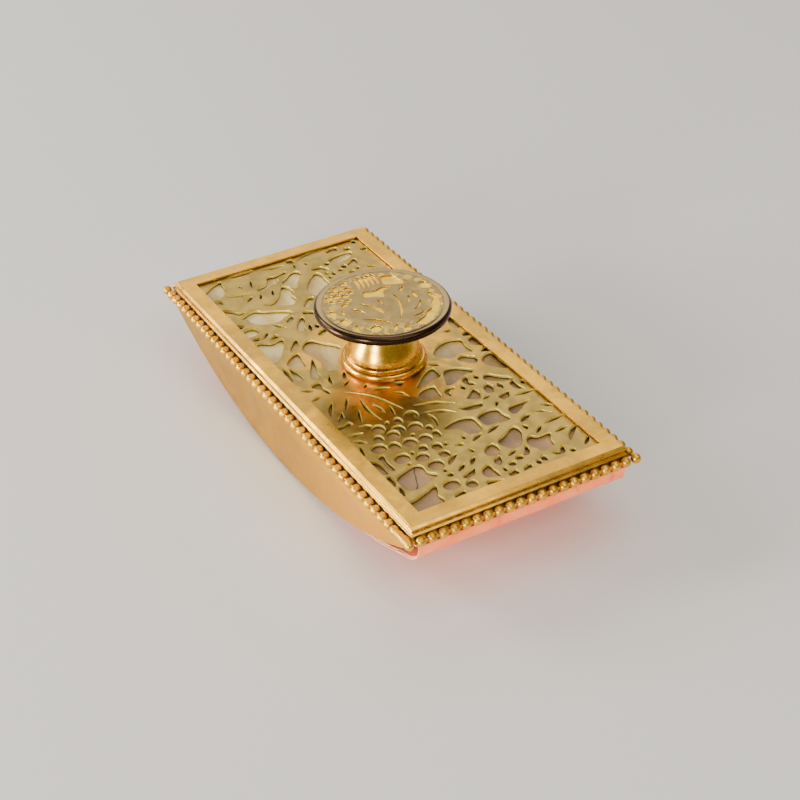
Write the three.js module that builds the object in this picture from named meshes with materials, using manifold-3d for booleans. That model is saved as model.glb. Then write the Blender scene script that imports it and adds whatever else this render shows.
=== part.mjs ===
// A desk rocker blotter: a curved rocker carries the blotting paper, a framed cover with a pierced
// vine panel over glass lies on it, and a round knob screws the two together.
// Millimetres, +Z up. Origin: on the table, under the middle of the knob. +X runs along the length.
import * as THREE from 'three';
import * as BufferGeometryUtils from 'three/addons/utils/BufferGeometryUtils.js';
import Module from 'manifold-3d';

// ---- Driving dimensions -------------------------------------------------------------------------
const TOP = 24.1;              // height of the cover frame's top face above the table
const FACE_X = 67.5;           // half length of that top face
const FACE_Y = 31.3;           // half width of that top face
const BAND = 4.2;              // width of the flat band round the panel
const LEDGE = 0.8;             // thickness of the lip that covers the panel's edge
const REBATE = 1.5;            // how far the rebate runs out under that lip
const FRAME_DEPTH = 4.9;       // whole depth of the cover frame
const FLANGE = 0.9;            // how far the frame's foot stands out past its top face

const PANEL_T = 0.9;           // pierced brass panel
const GLASS_T = 1.9;           // glass sheet
const BACKING_T = 0.4;         // backing plate
const STACK_GAP = 0.1;         // clearance between the layers in the frame

const BEAD_R = 1.4;            // bead radius
const BEAD_OUT = 2.4;          // bead centres outside the top face's edge
const BEAD_DROP = 3.6;         // bead centres below the top face
const BEADS_LONG = 44;         // beads along a long side, corners included
const BEADS_SHORT = 20;        // beads along a short side, between the corner beads

const ROCKER_R = 142.6;        // radius of the paper's outer face
const FACET = 5;               // length of one facet of the curved parts
const PAPER_T = 0.6;
const PAPER_HALF_W = 31.4;
const SHEET_T = 0.9;           // rocker bottom sheet
const SHEET_HALF_W = 31.7;
const CHEEK_T = 0.8;
const CHEEK_IN = 32.0;         // inner face of a cheek
const CHEEK_END = 66.6;        // half length of a cheek

const STUD_R = 2.4;
const BOSS_BORE = 2.5;
const CLEAR_BORE = 3.0;        // bore of the parts that the stud only passes through
const ROUND = 28;              // facets round a turned part

// The curved parts share one centre. The paper's middle facet is flat on the table.
const ROCKER_Z = Math.sqrt(ROCKER_R ** 2 - (FACET / 2) ** 2);

// ---- Materials ----------------------------------------------------------------------------------
const finish = (color, roughness, metalness) => ({ color, roughness, metalness });
const GILT = finish(0xc9a25c, 0.32, 1);
const SATIN_BRASS = finish(0xb9975a, 0.42, 1);
const POLISHED_BRASS = finish(0xd99a45, 0.15, 1);
const DARK_BRONZE = finish(0x3a2a1c, 0.25, 1);
const SLAG_GLASS = finish(0xc8b79a, 0.3, 0);
const PINK_PAPER = finish(0xe7a488, 0.9, 0);
const LEATHER = finish(0x3b2618, 0.8, 0);

// ---- Helpers ------------------------------------------------------------------------------------
const wasm = await Module();
wasm.setup();

function toSolid(geometry) {
  const bare = geometry.clone();
  bare.deleteAttribute('normal');
  bare.deleteAttribute('uv');
  const merged = BufferGeometryUtils.mergeVertices(bare, 1e-5);
  return new wasm.Manifold(new wasm.Mesh({
    numProp: 3,
    vertProperties: new Float32Array(merged.attributes.position.array),
    triVerts: new Uint32Array(merged.index.array),
  }));
}

function toGeometry(solid) {
  const mesh = solid.getMesh();
  const geometry = new THREE.BufferGeometry();
  geometry.setAttribute('position', new THREE.BufferAttribute(mesh.vertProperties, 3));
  geometry.setIndex(new THREE.BufferAttribute(mesh.triVerts, 1));
  geometry.computeVertexNormals();
  return geometry;
}

const group = new THREE.Group();

function addPart(name, geometry, look) {
  const mesh = new THREE.Mesh(geometry, new THREE.MeshStandardMaterial(look));
  mesh.name = name;
  group.add(mesh);
  return mesh;
}

const point = ([x, y]) => new THREE.Vector2(x, y);

// A flat plate: an outline and its holes in XY, from z = low up by thickness.
function plate(outline, holes, low, thickness) {
  const shape = new THREE.Shape(outline.map(point));
  shape.holes = holes.map((hole) => new THREE.Path(hole.map(point)));
  const geometry = new THREE.ExtrudeGeometry(shape, { depth: thickness, bevelEnabled: false });
  return geometry.translate(0, 0, low);
}

// An XZ section drawn out along Y, centred on y = middle.
function bar(section, middle, width) {
  const shape = new THREE.Shape(section.map(point));
  const geometry = new THREE.ExtrudeGeometry(shape, { depth: width, bevelEnabled: false });
  return geometry.rotateX(Math.PI / 2).translate(0, middle + width / 2, 0);
}

// A profile of [radius, height] points turned round the Z axis.
function turned(profile, facets = ROUND) {
  return new THREE.LatheGeometry(profile.map(point), facets).rotateX(Math.PI / 2);
}

const rectangle = (halfX, halfY) => [[-halfX, -halfY], [halfX, -halfY], [halfX, halfY], [-halfX, halfY]];

function circle(radius, facets = ROUND) {
  return Array.from({ length: facets }, (_, i) => {
    const angle = (2 * Math.PI * i) / facets;
    return [radius * Math.cos(angle), radius * Math.sin(angle)];
  });
}

function box(x0, x1, y0, y1, z0, z1) {
  const geometry = new THREE.BoxGeometry(x1 - x0, y1 - y0, z1 - z0);
  return geometry.translate((x0 + x1) / 2, (y0 + y1) / 2, (z0 + z1) / 2);
}

// Points along the rocker's curve at one radius, from x0 to x1, with facets on the shared grid.
function rockerArc(radius, x0, x1) {
  const rise = (x) => ROCKER_Z - Math.sqrt(radius ** 2 - x ** 2);
  const first = Math.ceil(x0 / FACET - 0.5) + 0.5;
  const points = [[x0, rise(x0)]];
  for (let k = first; k * FACET < x1 - 0.5; k += 1) {
    if (k * FACET > x0 + 0.5) points.push([k * FACET, rise(k * FACET)]);
  }
  points.push([x1, rise(x1)]);
  return points;
}

// ---- Cover --------------------------------------------------------------------------------------
const REBATE_X = FACE_X - BAND + REBATE;
const REBATE_Y = FACE_Y - BAND + REBATE;

// A picture-frame moulding: a square turned from the section, then its corners drawn apart.
function coverFrame() {
  const start = 10;            // where the top face's outer edge lies in the square before it is drawn out
  const coveR = 1.5;
  const footTop = 1.2 + coveR;
  const cove = [0, 1, 2, 3].map((i) => {
    const angle = (i / 3) * (Math.PI / 2);
    return [FLANGE - coveR * 0.5 * Math.cos(angle), -1.2 - coveR * Math.sin(angle)];
  });
  const section = [
    [-BAND, 0], [-BAND, -LEDGE], [REBATE - BAND, -LEDGE], [REBATE - BAND, -FRAME_DEPTH],
    [FLANGE, -FRAME_DEPTH], [FLANGE, -footTop - 0.2], ...cove.reverse(), [0, -1.1], [0, -0.2], [-0.2, 0],
    [-BAND, 0],
  ];
  const square = section.map(([out, z]) => [(start + out) * Math.SQRT2, TOP + z]);
  const geometry = new THREE.LatheGeometry(square.map(point), 4, Math.PI / 4).rotateX(Math.PI / 2);
  const position = geometry.attributes.position;
  for (let i = 0; i < position.count; i += 1) {
    position.setX(i, position.getX(i) + Math.sign(position.getX(i)) * (FACE_X - start));
    position.setY(i, position.getY(i) + Math.sign(position.getY(i)) * (FACE_Y - start));
  }
  addPart('cover_frame', geometry, GILT);
}

// The larger openings between the vines, leaves and grapes, in the panel's plane.
const OPENINGS = [
  [[-61, 18.5], [-62, 16], [-60.5, 14.5], [-60, 18]],
  [[-57, 21], [-58, 16], [-56, 13], [-53, 14.5], [-52.5, 18], [-54, 20.5]],
  [[-52, 6.2], [-48, 7], [-43.5, 6.3], [-41.2, 2], [-41.6, -0.4], [-44.5, 0.2], [-50, 3.9]],
  [[-54.8, 0], [-52, 1], [-47, -2], [-48, -3.5], [-51, -4.2], [-52.8, -3]],
  [[-55.6, -5.3], [-53.6, -5], [-52.4, -7], [-53, -8], [-55.9, -7.2]],
  [[-49.2, -6], [-43, -5.4], [-39.8, -7.6], [-42.6, -11.8], [-43.8, -11], [-45.2, -9.4]],
  [[-37.4, -10], [-34, -14.4], [-33.4, -17], [-35, -20], [-38.4, -22], [-39.8, -20], [-39.4, -15.5]],
  [[-60, -21], [-57, -21.6], [-53, -24.6], [-54.5, -26.4], [-57.5, -26]],
  [[-32, -8.8], [-30.3, -8.8], [-26, -11.5], [-26.8, -12.7], [-29, -12]],
  [[-24, -19], [-18.5, -21.5], [-15, -25.5], [-16, -26.5], [-24, -26.5], [-25.4, -23]],
  [[-19.8, -13], [-14, -8.5], [-11, -9], [-3.5, -13], [-4.5, -16], [-9, -15.5], [-12, -15.8], [-16, -16.5]],
  [[-10.5, -16.5], [-6, -18.3], [-2.5, -18.5], [-2.5, -20.8], [-5, -20.5], [-8, -18.8]],
  [[-16, -19.5], [-9, -20.5], [-10, -22.5], [-12.5, -23.5], [-15, -21.5]],
  [[-20, 10], [-13, 12], [-9, 19], [-14, 22], [-21, 17]],
  [[-34, 10], [-27, 14], [-26, 20], [-33, 21], [-37, 16]],
  [[-34, 2], [-27, 4], [-22, 0], [-27, -3], [-33, -1]],
  [[1, 23], [7, 24], [9, 19], [8.5, 16.5], [5.5, 13.3], [3, 15], [1, 18]],
  [[12.8, 26], [20, 26], [19.5, 24.5], [16, 23], [13.5, 24]],
  [[9, 19.5], [11, 21.5], [13.8, 21], [12, 18], [10, 17.6]],
  [[13, 14], [16, 18], [18, 17], [20, 11], [20, 9.5], [16.5, 9.5], [13, 11.5]],
  [[20.5, 20], [25, 24.5], [26, 23], [24, 19], [22, 18.2]],
  [[25, 16.5], [28.5, 18], [29, 16], [25.5, 14.8]],
  [[17.6, 4.6], [23, 4.6], [24, 3], [22.6, -1], [18, -0.6]],
  [[31, 11], [32.6, 11], [32.8, 6.5], [30.6, 6]],
  [[36.8, 23], [38.5, 20], [40, 16.5], [38, 16], [36.8, 18]],
  [[51.8, 18.3], [56.5, 17.5], [59, 15], [57, 12.2], [53, 12.6], [52, 15.5]],
  [[36.5, 13.2], [41, 13.5], [41, 7.2], [36.2, 7.2]],
  [[46, 12.8], [48, 13], [52.5, 10], [52.5, 6.5], [48.5, 6.5], [46.5, 10.5]],
  [[36, 5], [40.5, 5], [42, 1.5], [38.5, 0], [37.5, -2.5], [36, -1]],
  [[49, 3.6], [52, 4], [53.6, 1.6], [51, 0.4], [49.6, 1.6]],
  [[55.6, -1.6], [59.6, -2], [60.2, -4.4], [57.6, -4.6]],
  [[46.3, -18.5], [48, -17], [52, -16], [53.5, -17.5], [54.3, -22.5], [52, -24], [49, -24], [47.5, -22.5]],
  [[56.5, -18], [62.5, -19], [62.5, -25.8], [59, -26.2], [58, -24]],
];

function coverLayers() {
  const panelTop = TOP - LEDGE - 0.05;
  const panelLow = panelTop - PANEL_T;
  const glassLow = panelLow - STACK_GAP - GLASS_T;
  const backingLow = glassLow - STACK_GAP - BACKING_T;
  const edge = (inset) => rectangle(REBATE_X - inset, REBATE_Y - inset);
  const sleeveOut = 4.2;
  addPart('pierced_panel', plate(edge(0.2), [circle(CLEAR_BORE), ...OPENINGS], panelLow, PANEL_T), SATIN_BRASS);
  addPart('glass_panel', plate(edge(0.6), [circle(sleeveOut + 0.3)], glassLow, GLASS_T), SLAG_GLASS);
  addPart('backing_plate', plate(edge(0.4), [circle(CLEAR_BORE)], backingLow, BACKING_T), SATIN_BRASS);
  addPart('spacer_sleeve', plate(circle(sleeveOut), [circle(CLEAR_BORE)], glassLow, GLASS_T), SATIN_BRASS);
  return backingLow;
}

// Small brass tabs soldered in the rebate and bent over the backing plate.
function retainingTabs(backingLow) {
  const tabT = 0.4;
  const tabLow = backingLow - 0.05 - tabT;
  const reach = 4;
  const half = 2.5;
  const outX = REBATE_X - 0.05;
  const outY = REBATE_Y - 0.05;
  let number = 1;
  const add = (x0, x1, y0, y1) => {
    addPart(`retaining_tab_${number}`, box(x0, x1, y0, y1, tabLow, tabLow + tabT), SATIN_BRASS);
    number += 1;
  };
  for (const side of [-1, 1]) {
    for (const x of [-36, 36]) {
      add(x - half, x + half, ...[side * outY, side * (outY - reach)].sort((a, b) => a - b));
    }
    add(...[side * outX, side * (outX - reach)].sort((a, b) => a - b), -half, half);
  }
}

// A row of beads on one wire, turned in one piece along Y and centred on the origin.
function beadRow(count, pitch) {
  const neck = 0.75;
  const low = -((count - 1) * pitch) / 2;
  const profile = [[0, low - BEAD_R]];
  for (let i = 0; i < count; i += 1) {
    if (i > 0) profile.push([neck, low + (i - 0.5) * pitch]);
    profile.push([BEAD_R, low + i * pitch]);
  }
  profile.push([0, -low + BEAD_R]);
  return new THREE.LatheGeometry(profile.map(point), 6);
}

function beadStrips() {
  const x = FACE_X + BEAD_OUT;
  const y = FACE_Y + BEAD_OUT;
  const z = TOP - BEAD_DROP;
  const longPitch = (2 * x) / (BEADS_LONG - 1);
  const shortPitch = (2 * y) / (BEADS_SHORT + 1);
  const long = () => beadRow(BEADS_LONG, longPitch).rotateY(Math.PI / 2).rotateZ(-Math.PI / 2);
  const short = () => beadRow(BEADS_SHORT, shortPitch).rotateY(Math.PI / 2);
  addPart('bead_strip_left', long(), GILT).position.set(0, -y, z);
  addPart('bead_strip_right', long(), GILT).position.set(0, y, z);
  addPart('bead_strip_near', short(), GILT).position.set(x, 0, z);
  addPart('bead_strip_far', short(), GILT).position.set(-x, 0, z);
}

// ---- Knob: heights in these sections are above the frame's top face -------------------------------
const raise = (profile) => profile.map(([r, z]) => [r, z + TOP]);

function knob() {
  const socket = STUD_R + 0.3;
  const cap = [
    [0, 13.0], [socket, 13.0], [socket, 11.9], [9.8, 11.9], [10.8, 12.6], [14, 13.6], [17.2, 14.6],
    [18.2, 15.4], [18.5, 16.4], [18.2, 17.3], [17.4, 17.75], [16.6, 17.6], [16.6, 16.4], [0, 16.4],
  ];
  const medallion = [[0, 16.5], [16.4, 16.5], [16.4, 17.5], [14, 17.8], [9, 18.15], [0, 18.3]];
  const column = [
    [socket, 1.6], [9.8, 1.6], [9.8, 2.5], [10.9, 2.7], [10.9, 3.3], [10, 3.9], [9.4, 6.5], [9.4, 9],
    [9.8, 11], [9.8, 11.8], [socket, 11.8], [socket, 1.6],
  ];
  const base = [
    [CLEAR_BORE, -0.3], [11.2, -0.3], [11.9, 0.3], [11.9, 0.8], [11.3, 1.4], [10.4, 1.5], [CLEAR_BORE, 1.5],
    [CLEAR_BORE, -0.3],
  ];
  const washer = [
    [CLEAR_BORE, -0.8], [10.6, -0.8], [10.6, -0.35], [CLEAR_BORE, -0.35], [CLEAR_BORE, -0.8],
  ];
  const studTop = 12.8;
  const studLow = -17.5;
  const stud = [[0, studLow], [STUD_R - 0.4, studLow], [STUD_R, studLow + 0.6], [STUD_R, studTop], [0, studTop]];
  addPart('knob_cap', turned(raise(cap)), DARK_BRONZE);
  addPart('knob_medallion', turned(raise(medallion)), GILT);
  addPart('knob_column', turned(raise(column)), POLISHED_BRASS);
  addPart('knob_base_ring', turned(raise(base)), POLISHED_BRASS);
  addPart('knob_washer', turned(raise(washer)), LEATHER);
  addPart('knob_stud', turned(raise(stud)), SATIN_BRASS);
}

// ---- Rocker base --------------------------------------------------------------------------------
const CHEEK_TOP = TOP - FRAME_DEPTH - 0.2;
const LIP_TOP = TOP - FRAME_DEPTH - 0.85;

function cheeks() {
  const edgeR = ROCKER_R - 0.5;
  const section = [...rockerArc(edgeR, -CHEEK_END, CHEEK_END), [CHEEK_END, CHEEK_TOP], [-CHEEK_END, CHEEK_TOP]];
  const middle = CHEEK_IN + CHEEK_T / 2;
  addPart('cheek_left', bar(section, -middle, CHEEK_T), SATIN_BRASS);
  addPart('cheek_right', bar(section, middle, CHEEK_T), SATIN_BRASS);
}

// The curved sheet, with a lip folded back at each end to hold the paper's tucked ends.
function rockerBottom() {
  const outR = ROCKER_R - PAPER_T - 0.1;
  const endX = 66.2;
  const rootX = 65.2;
  const lipX = 60;
  const lipLow = LIP_TOP - 0.6;
  const inner = rockerArc(outR - SHEET_T, -rootX, rootX).reverse();
  const section = [
    ...rockerArc(outR, -endX, endX),
    [endX + 0.3, LIP_TOP - 0.5], [endX, LIP_TOP], [lipX, LIP_TOP], [lipX, lipLow], [rootX, lipLow],
    ...inner,
    [-rootX, lipLow], [-lipX, lipLow], [-lipX, LIP_TOP], [-endX, LIP_TOP], [-endX - 0.3, LIP_TOP - 0.5],
  ];
  addPart('rocker_bottom', bar(section, 0, 2 * SHEET_HALF_W), SATIN_BRASS);
}

// Blotting paper round the rocker: tight at the far end, sprung loose at the near end.
function blottingPaper() {
  const tuckLow = LIP_TOP + 0.1;
  const tuckTop = tuckLow + PAPER_T;
  const tuckX = 57;
  const looseX = 37.5;
  const outer = [
    [-tuckX, tuckTop], [-67, tuckTop], [-67.6, tuckTop - 0.4], [-67.7, 17.6],
    ...rockerArc(ROCKER_R, -66.9, looseX),
    [44, 6.3], [50, 8.0], [57.5, 10.7], [63.5, 13.1], [67.3, 14.4], [69.2, 15.4], [69.9, 16.8], [69.6, 18.4],
    [68.8, tuckTop], [tuckX, tuckTop],
  ];
  const inner = [
    [tuckX, tuckLow], [68.4, tuckLow], [69.0, 18.0], [69.3, 16.8], [68.8, 15.8], [67.0, 15.0], [63.3, 13.7],
    [57.3, 11.3], [49.8, 8.6], [43.8, 6.9],
    ...rockerArc(ROCKER_R - PAPER_T, -66.6, looseX - 0.2).reverse(),
    [-67.1, 17.7], [-67, tuckLow], [-tuckX, tuckLow],
  ];
  addPart('blotting_paper', bar([...outer, ...inner], 0, 2 * PAPER_HALF_W), PINK_PAPER);
}

// A channel across the middle, soldered to both cheeks, with the knob's nut fixed in it.
function bridge() {
  const half = 9;
  const top = 15.2;
  const sheet = 1.2;
  const out = CHEEK_IN - 0.2;
  const foot = 5;
  const deck = toSolid(box(-half, half, -out, out, top - sheet, top));
  const left = toSolid(box(-half, half, -out, -out + sheet, foot, top));
  const right = toSolid(box(-half, half, out - sheet, out, foot, top));
  const hole = toSolid(plate(circle(4.7), [], top - 3, 6));
  addPart('cross_bridge', toGeometry(deck.add(left).add(right).subtract(hole)), SATIN_BRASS);
  const boss = [
    [BOSS_BORE, 10], [4.5, 10], [4.5, 12.4], [7, 12.4], [7, 13.8], [4.5, 13.8], [4.5, 16.4], [BOSS_BORE, 16.4],
    [BOSS_BORE, 10],
  ];
  addPart('threaded_boss', turned(boss), SATIN_BRASS);
}

coverFrame();
retainingTabs(coverLayers());
beadStrips();
knob();
cheeks();
rockerBottom();
blottingPaper();
bridge();

export default group;
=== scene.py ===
# %% [markdown]
# # A rocker blotter from a brass desk set
# The blotter is a curved rocker that carries pink paper, under a flat cover with a pierced vine panel,
# and a round knob to rock it by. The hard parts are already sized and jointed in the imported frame.
# This script gives each visible piece its real surface, in the same place, in metres.

# %% Load the fixed frame
import math

import bmesh
import bpy
from mathutils import Matrix, Vector
from mathutils import noise as field


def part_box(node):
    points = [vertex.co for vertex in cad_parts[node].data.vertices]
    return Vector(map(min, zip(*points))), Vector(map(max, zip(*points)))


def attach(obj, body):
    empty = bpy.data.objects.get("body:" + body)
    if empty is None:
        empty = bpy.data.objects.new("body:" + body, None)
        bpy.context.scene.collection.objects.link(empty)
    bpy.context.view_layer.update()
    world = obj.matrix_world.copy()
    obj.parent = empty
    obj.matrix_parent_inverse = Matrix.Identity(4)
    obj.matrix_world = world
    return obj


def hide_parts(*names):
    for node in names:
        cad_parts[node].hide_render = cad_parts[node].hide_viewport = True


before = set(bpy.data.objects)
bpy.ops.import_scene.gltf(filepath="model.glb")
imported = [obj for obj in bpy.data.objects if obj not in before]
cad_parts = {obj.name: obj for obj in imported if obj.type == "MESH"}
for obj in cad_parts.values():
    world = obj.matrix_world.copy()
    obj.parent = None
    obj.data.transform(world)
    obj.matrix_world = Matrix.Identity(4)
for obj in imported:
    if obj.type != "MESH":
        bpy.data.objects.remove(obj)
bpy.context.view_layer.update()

# %% [markdown]
# ## Measures
# Everything is modelled in millimetres above the table and turned into metres when a piece is finished,
# because a maker thinks of beads and sheet metal in millimetres. The places come from the frame.

# %% Measures that several pieces share
MM = 0.001


def node_box(node):
    """Lowest and highest corners of a CAD node, in millimetres."""
    low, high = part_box(node)
    return low / MM, high / MM


frame_high = node_box("cover_frame")[1]
TOP = frame_high.z
FOOT_OUT = 0.9                                    # how far the foot stands out past the top face
FACE_X, FACE_Y = frame_high.x - FOOT_OUT, frame_high.y - FOOT_OUT
print(f"top face at {TOP:.1f} mm, {2 * FACE_X:.1f} by {2 * FACE_Y:.1f} mm")


# %% [markdown]
# ## From a bmesh to a finished piece
# Each piece is one mesh whose object stays at the origin. `finish_piece` scales the bmesh to metres,
# smooths the shading except across real corners, and lets the piece ride on its body.

# %% Finish a piece
def finish_piece(name, bm, looks, body, replaced=(), corner=35):
    """Shading breaks at edges that turn by more than `corner` degrees, and round every level face,
    because a level face's long thin triangles would smear the shade of a rounded edge over it."""
    bm.normal_update()
    for face in bm.faces:
        face.smooth = True
    for edge in bm.edges:
        level = [abs(face.normal.z) > 0.999 for face in edge.link_faces]
        one_kind = all(level) or not any(level)
        edge.smooth = one_kind and edge.calc_face_angle(0) < math.radians(corner)
    bmesh.ops.scale(bm, vec=(MM, MM, MM), verts=bm.verts)
    mesh = bpy.data.meshes.new(name)
    bm.to_mesh(mesh)
    bm.free()
    piece = bpy.data.objects.new(name, mesh)
    bpy.context.scene.collection.objects.link(piece)
    for look in looks:
        mesh.materials.append(look)
    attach(piece, body)
    if replaced:
        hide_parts(*replaced)
    print(f"{name}: {len(mesh.polygons)} faces")
    return piece


def soften(bm, width, corner=40, segments=2):
    """Round every edge that turns by more than `corner` degrees."""
    limit = math.radians(corner)
    sharp = [e for e in bm.edges if len(e.link_faces) == 2 and e.calc_face_angle(0) > limit]
    bmesh.ops.bevel(bm, geom=sharp, offset=width, affect="EDGES", segments=segments, profile=0.5,
                    material=-1)


def arc(centre_x, centre_z, radius, start, end, steps):
    """Points on a circular arc, from one angle to another in degrees."""
    points = []
    for i in range(steps + 1):
        angle = math.radians(start + (end - start) * i / steps)
        points.append((centre_x + radius * math.cos(angle), centre_z + radius * math.sin(angle)))
    return points


# %% [markdown]
# ## Camera
# The camera looks down on the blotter from its near left corner with a long lens, so the cover is seen
# with little perspective. The three vectors are the camera's right, up and backward directions.

# %% Camera
camera_data = bpy.data.cameras.new("camera")
camera_data.lens = 77.88
camera_data.sensor_width = 36
EYE = Vector((346.68, -195.88, 260.56 + TOP))     # millimetres
camera = bpy.data.objects.new("camera", camera_data)
bpy.context.scene.collection.objects.link(camera)
right = Vector((0.50912, 0.86059, -0.01342))
up = Vector((-0.48328, 0.29874, 0.82292))
back = Vector((0.71221, -0.41248, 0.56800))
turn = Matrix((right, up, back)).transposed().to_4x4()
camera.matrix_world = Matrix.Translation(EYE * MM) @ turn
bpy.context.scene.camera = camera
print("camera at", camera.matrix_world.translation)

# %% [markdown]
# ## Floor and light
# The floor is plain and pale, and so is the room, which dims towards the near end. Two windows stand on
# the left, so that the polished neck shows two bright spots. Soft panels to the left, behind and above
# are what the level metal mirrors. A low strip lights the paper's edge and is kept out of reflections.

# %% Floor
floor_look = bpy.data.materials.new("floor_paper")
floor_look.use_nodes = True
floor_shader = floor_look.node_tree.nodes["Principled BSDF"]
floor_shader.inputs["Base Color"].default_value = (0.78, 0.76, 0.73, 1)
floor_shader.inputs["Roughness"].default_value = 0.7
floor_bm = bmesh.new()
bmesh.ops.create_grid(floor_bm, x_segments=1, y_segments=1, size=4)
floor_mesh = bpy.data.meshes.new("floor")
floor_bm.to_mesh(floor_mesh)
floor_bm.free()
floor = bpy.data.objects.new("floor", floor_mesh)
floor.location.z = -0.0001
bpy.context.scene.collection.objects.link(floor)
floor_mesh.materials.append(floor_look)
print("floor:", tuple(floor.dimensions))


# %% Windows and panels
def window(name, azimuth, elevation, distance, width, height, power, tint):
    """A rectangular area light that faces the blotter from a compass angle and a height angle."""
    light = bpy.data.lights.new(name, "AREA")
    light.shape = "RECTANGLE"
    light.size = width
    light.size_y = height
    light.energy = power
    light.color = tint
    lamp = bpy.data.objects.new(name, light)
    bpy.context.scene.collection.objects.link(lamp)
    a, e = math.radians(azimuth), math.radians(elevation)
    away = Vector((math.cos(a) * math.cos(e), math.sin(a) * math.cos(e), math.sin(e)))
    facing = away.to_track_quat("Z", "Y").to_matrix().to_4x4()
    lamp.matrix_world = Matrix.Translation(away * distance) @ facing
    print(f"{name}: {power} W")
    return lamp


# Compass and height angles in degrees, distance and size in metres, power in watts.
DAYLIGHT = (1.0, 0.96, 0.90)
window("window_left", -110, 10, 1.3, 0.32, 0.42, 20, DAYLIGHT)
window("window_front", -60, 13, 1.3, 0.26, 0.36, 11, DAYLIGHT)
window("left_panel", -141, 26, 1.3, 0.5, 0.4, 9, DAYLIGHT)
window("near_panel", 10, 50, 1.4, 1.0, 0.5, 5, (1.0, 0.95, 0.88))
floor_glow = window("floor_glow", -35, 4, 1.3, 0.9, 0.12, 17, (1.0, 0.93, 0.85))
floor_glow.visible_glossy = False
window("back_panel", 150, 38, 1.6, 1.5, 1.0, 6, (1.0, 0.95, 0.86))
window("ceiling", 0, 88, 1.8, 1.2, 1.2, 8, (1.0, 0.98, 0.95))

# %% Room
FAR_GLOW, NEAR_GLOW = 0.42, 0.2
world = bpy.data.worlds.new("room")
world.use_nodes = True
room = world.node_tree
room.nodes["Background"].inputs["Color"].default_value = (0.90, 0.87, 0.82, 1)
direction = room.nodes.new("ShaderNodeSeparateXYZ")
room.links.new(room.nodes.new("ShaderNodeTexCoord").outputs["Generated"], direction.inputs["Vector"])
dimmer = room.nodes.new("ShaderNodeMapRange")
for socket, number in (("From Min", -0.7), ("From Max", 0.7), ("To Min", FAR_GLOW), ("To Max", NEAR_GLOW)):
    dimmer.inputs[socket].default_value = number
room.links.new(direction.outputs["X"], dimmer.inputs["Value"])
room.links.new(dimmer.outputs["Result"], room.nodes["Background"].inputs["Strength"])
bpy.context.scene.world = world
print("room glows from", FAR_GLOW, "to", NEAR_GLOW)

# %% [markdown]
# ## Metal finishes
# Old gilded brass is one metal in several states: rubbed bright where it is touched, dull where it is
# not, brown in every crevice. One recipe makes them all. Large noise shifts the tone, small noise pits
# and clouds the gloss, and ambient occlusion finds the crevices that hold dark patina. A few looks then
# get a second tone: brighter patches in a ring round the knob on the panel, and on the cheeks a painted
# light that brightens them towards the near end.


# %% Node helpers
def start_look(name):
    """A new material: its node tree, its shader and the object coordinates every pattern reads."""
    look = bpy.data.materials.new(name)
    look.use_nodes = True
    tree = look.node_tree
    place = tree.nodes.new("ShaderNodeTexCoord").outputs["Object"]
    return look, tree, tree.nodes["Principled BSDF"], place


def stretched(tree, place, scale, turn=0):
    """Object coordinates stretched along an axis and turned about Z, for brushed or streaked patterns."""
    mapping = tree.nodes.new("ShaderNodeMapping")
    mapping.inputs["Scale"].default_value = scale
    mapping.inputs["Rotation"].default_value = (0, 0, math.radians(turn))
    tree.links.new(place, mapping.inputs["Vector"])
    return mapping.outputs["Vector"]


def noise(tree, place, size_mm, detail=3, roughness=0.55, distortion=0.0):
    """Noise whose blotches are about size_mm across."""
    node = tree.nodes.new("ShaderNodeTexNoise")
    node.inputs["Scale"].default_value = 1 / (size_mm * MM)
    node.inputs["Detail"].default_value = detail
    node.inputs["Roughness"].default_value = roughness
    node.inputs["Distortion"].default_value = distortion
    tree.links.new(place, node.inputs["Vector"])
    return node.outputs["Fac"]


def spread(tree, value, low, high, to_low=0.0, to_high=1.0):
    """Maps low..high of a value to to_low..to_high, smoothly and clamped."""
    node = tree.nodes.new("ShaderNodeMapRange")
    node.interpolation_type = "SMOOTHSTEP"
    sockets = ("From Min", "From Max", "To Min", "To Max")
    for socket, number in zip(sockets, (low, high, to_low, to_high)):
        node.inputs[socket].default_value = number
    tree.links.new(value, node.inputs["Value"])
    return node.outputs["Result"]


def blend_colours(tree, amount, first, second):
    """Goes from first to second as amount goes from 0 to 1. Either can be a colour or a socket."""
    node = tree.nodes.new("ShaderNodeMix")
    node.data_type = "RGBA"
    tree.links.new(amount, node.inputs["Factor"])
    for socket, colour in ((node.inputs[6], first), (node.inputs[7], second)):
        if isinstance(colour, tuple):
            socket.default_value = (*colour, 1)
        else:
            tree.links.new(colour, socket)
    return node.outputs[2]


def math_node(tree, operation, *values, clamp=True):
    """Arithmetic on numbers or sockets, held between 0 and 1 unless clamp is off."""
    node = tree.nodes.new("ShaderNodeMath")
    node.operation = operation
    node.use_clamp = clamp
    for socket, value in zip(node.inputs, values):
        if isinstance(value, (int, float)):
            socket.default_value = value
        else:
            tree.links.new(value, socket)
    return node.outputs[0]


def crevices(tree, reach_mm):
    """1 in the open and 0 deep in a crevice."""
    node = tree.nodes.new("ShaderNodeAmbientOcclusion")
    node.inputs["Distance"].default_value = reach_mm * MM
    node.samples = 6
    return node.outputs["AO"]


def bumps(tree, shader, *layers):
    """Stacks bump layers of (height, strength, depth in mm) on the shader."""
    normal = None
    for height, strength, depth in layers:
        node = tree.nodes.new("ShaderNodeBump")
        node.inputs["Strength"].default_value = strength
        node.inputs["Distance"].default_value = depth * MM
        tree.links.new(height, node.inputs["Height"])
        if normal:
            tree.links.new(normal, node.inputs["Normal"])
        normal = node.outputs["Normal"]
    tree.links.new(normal, shader.inputs["Normal"])
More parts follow.
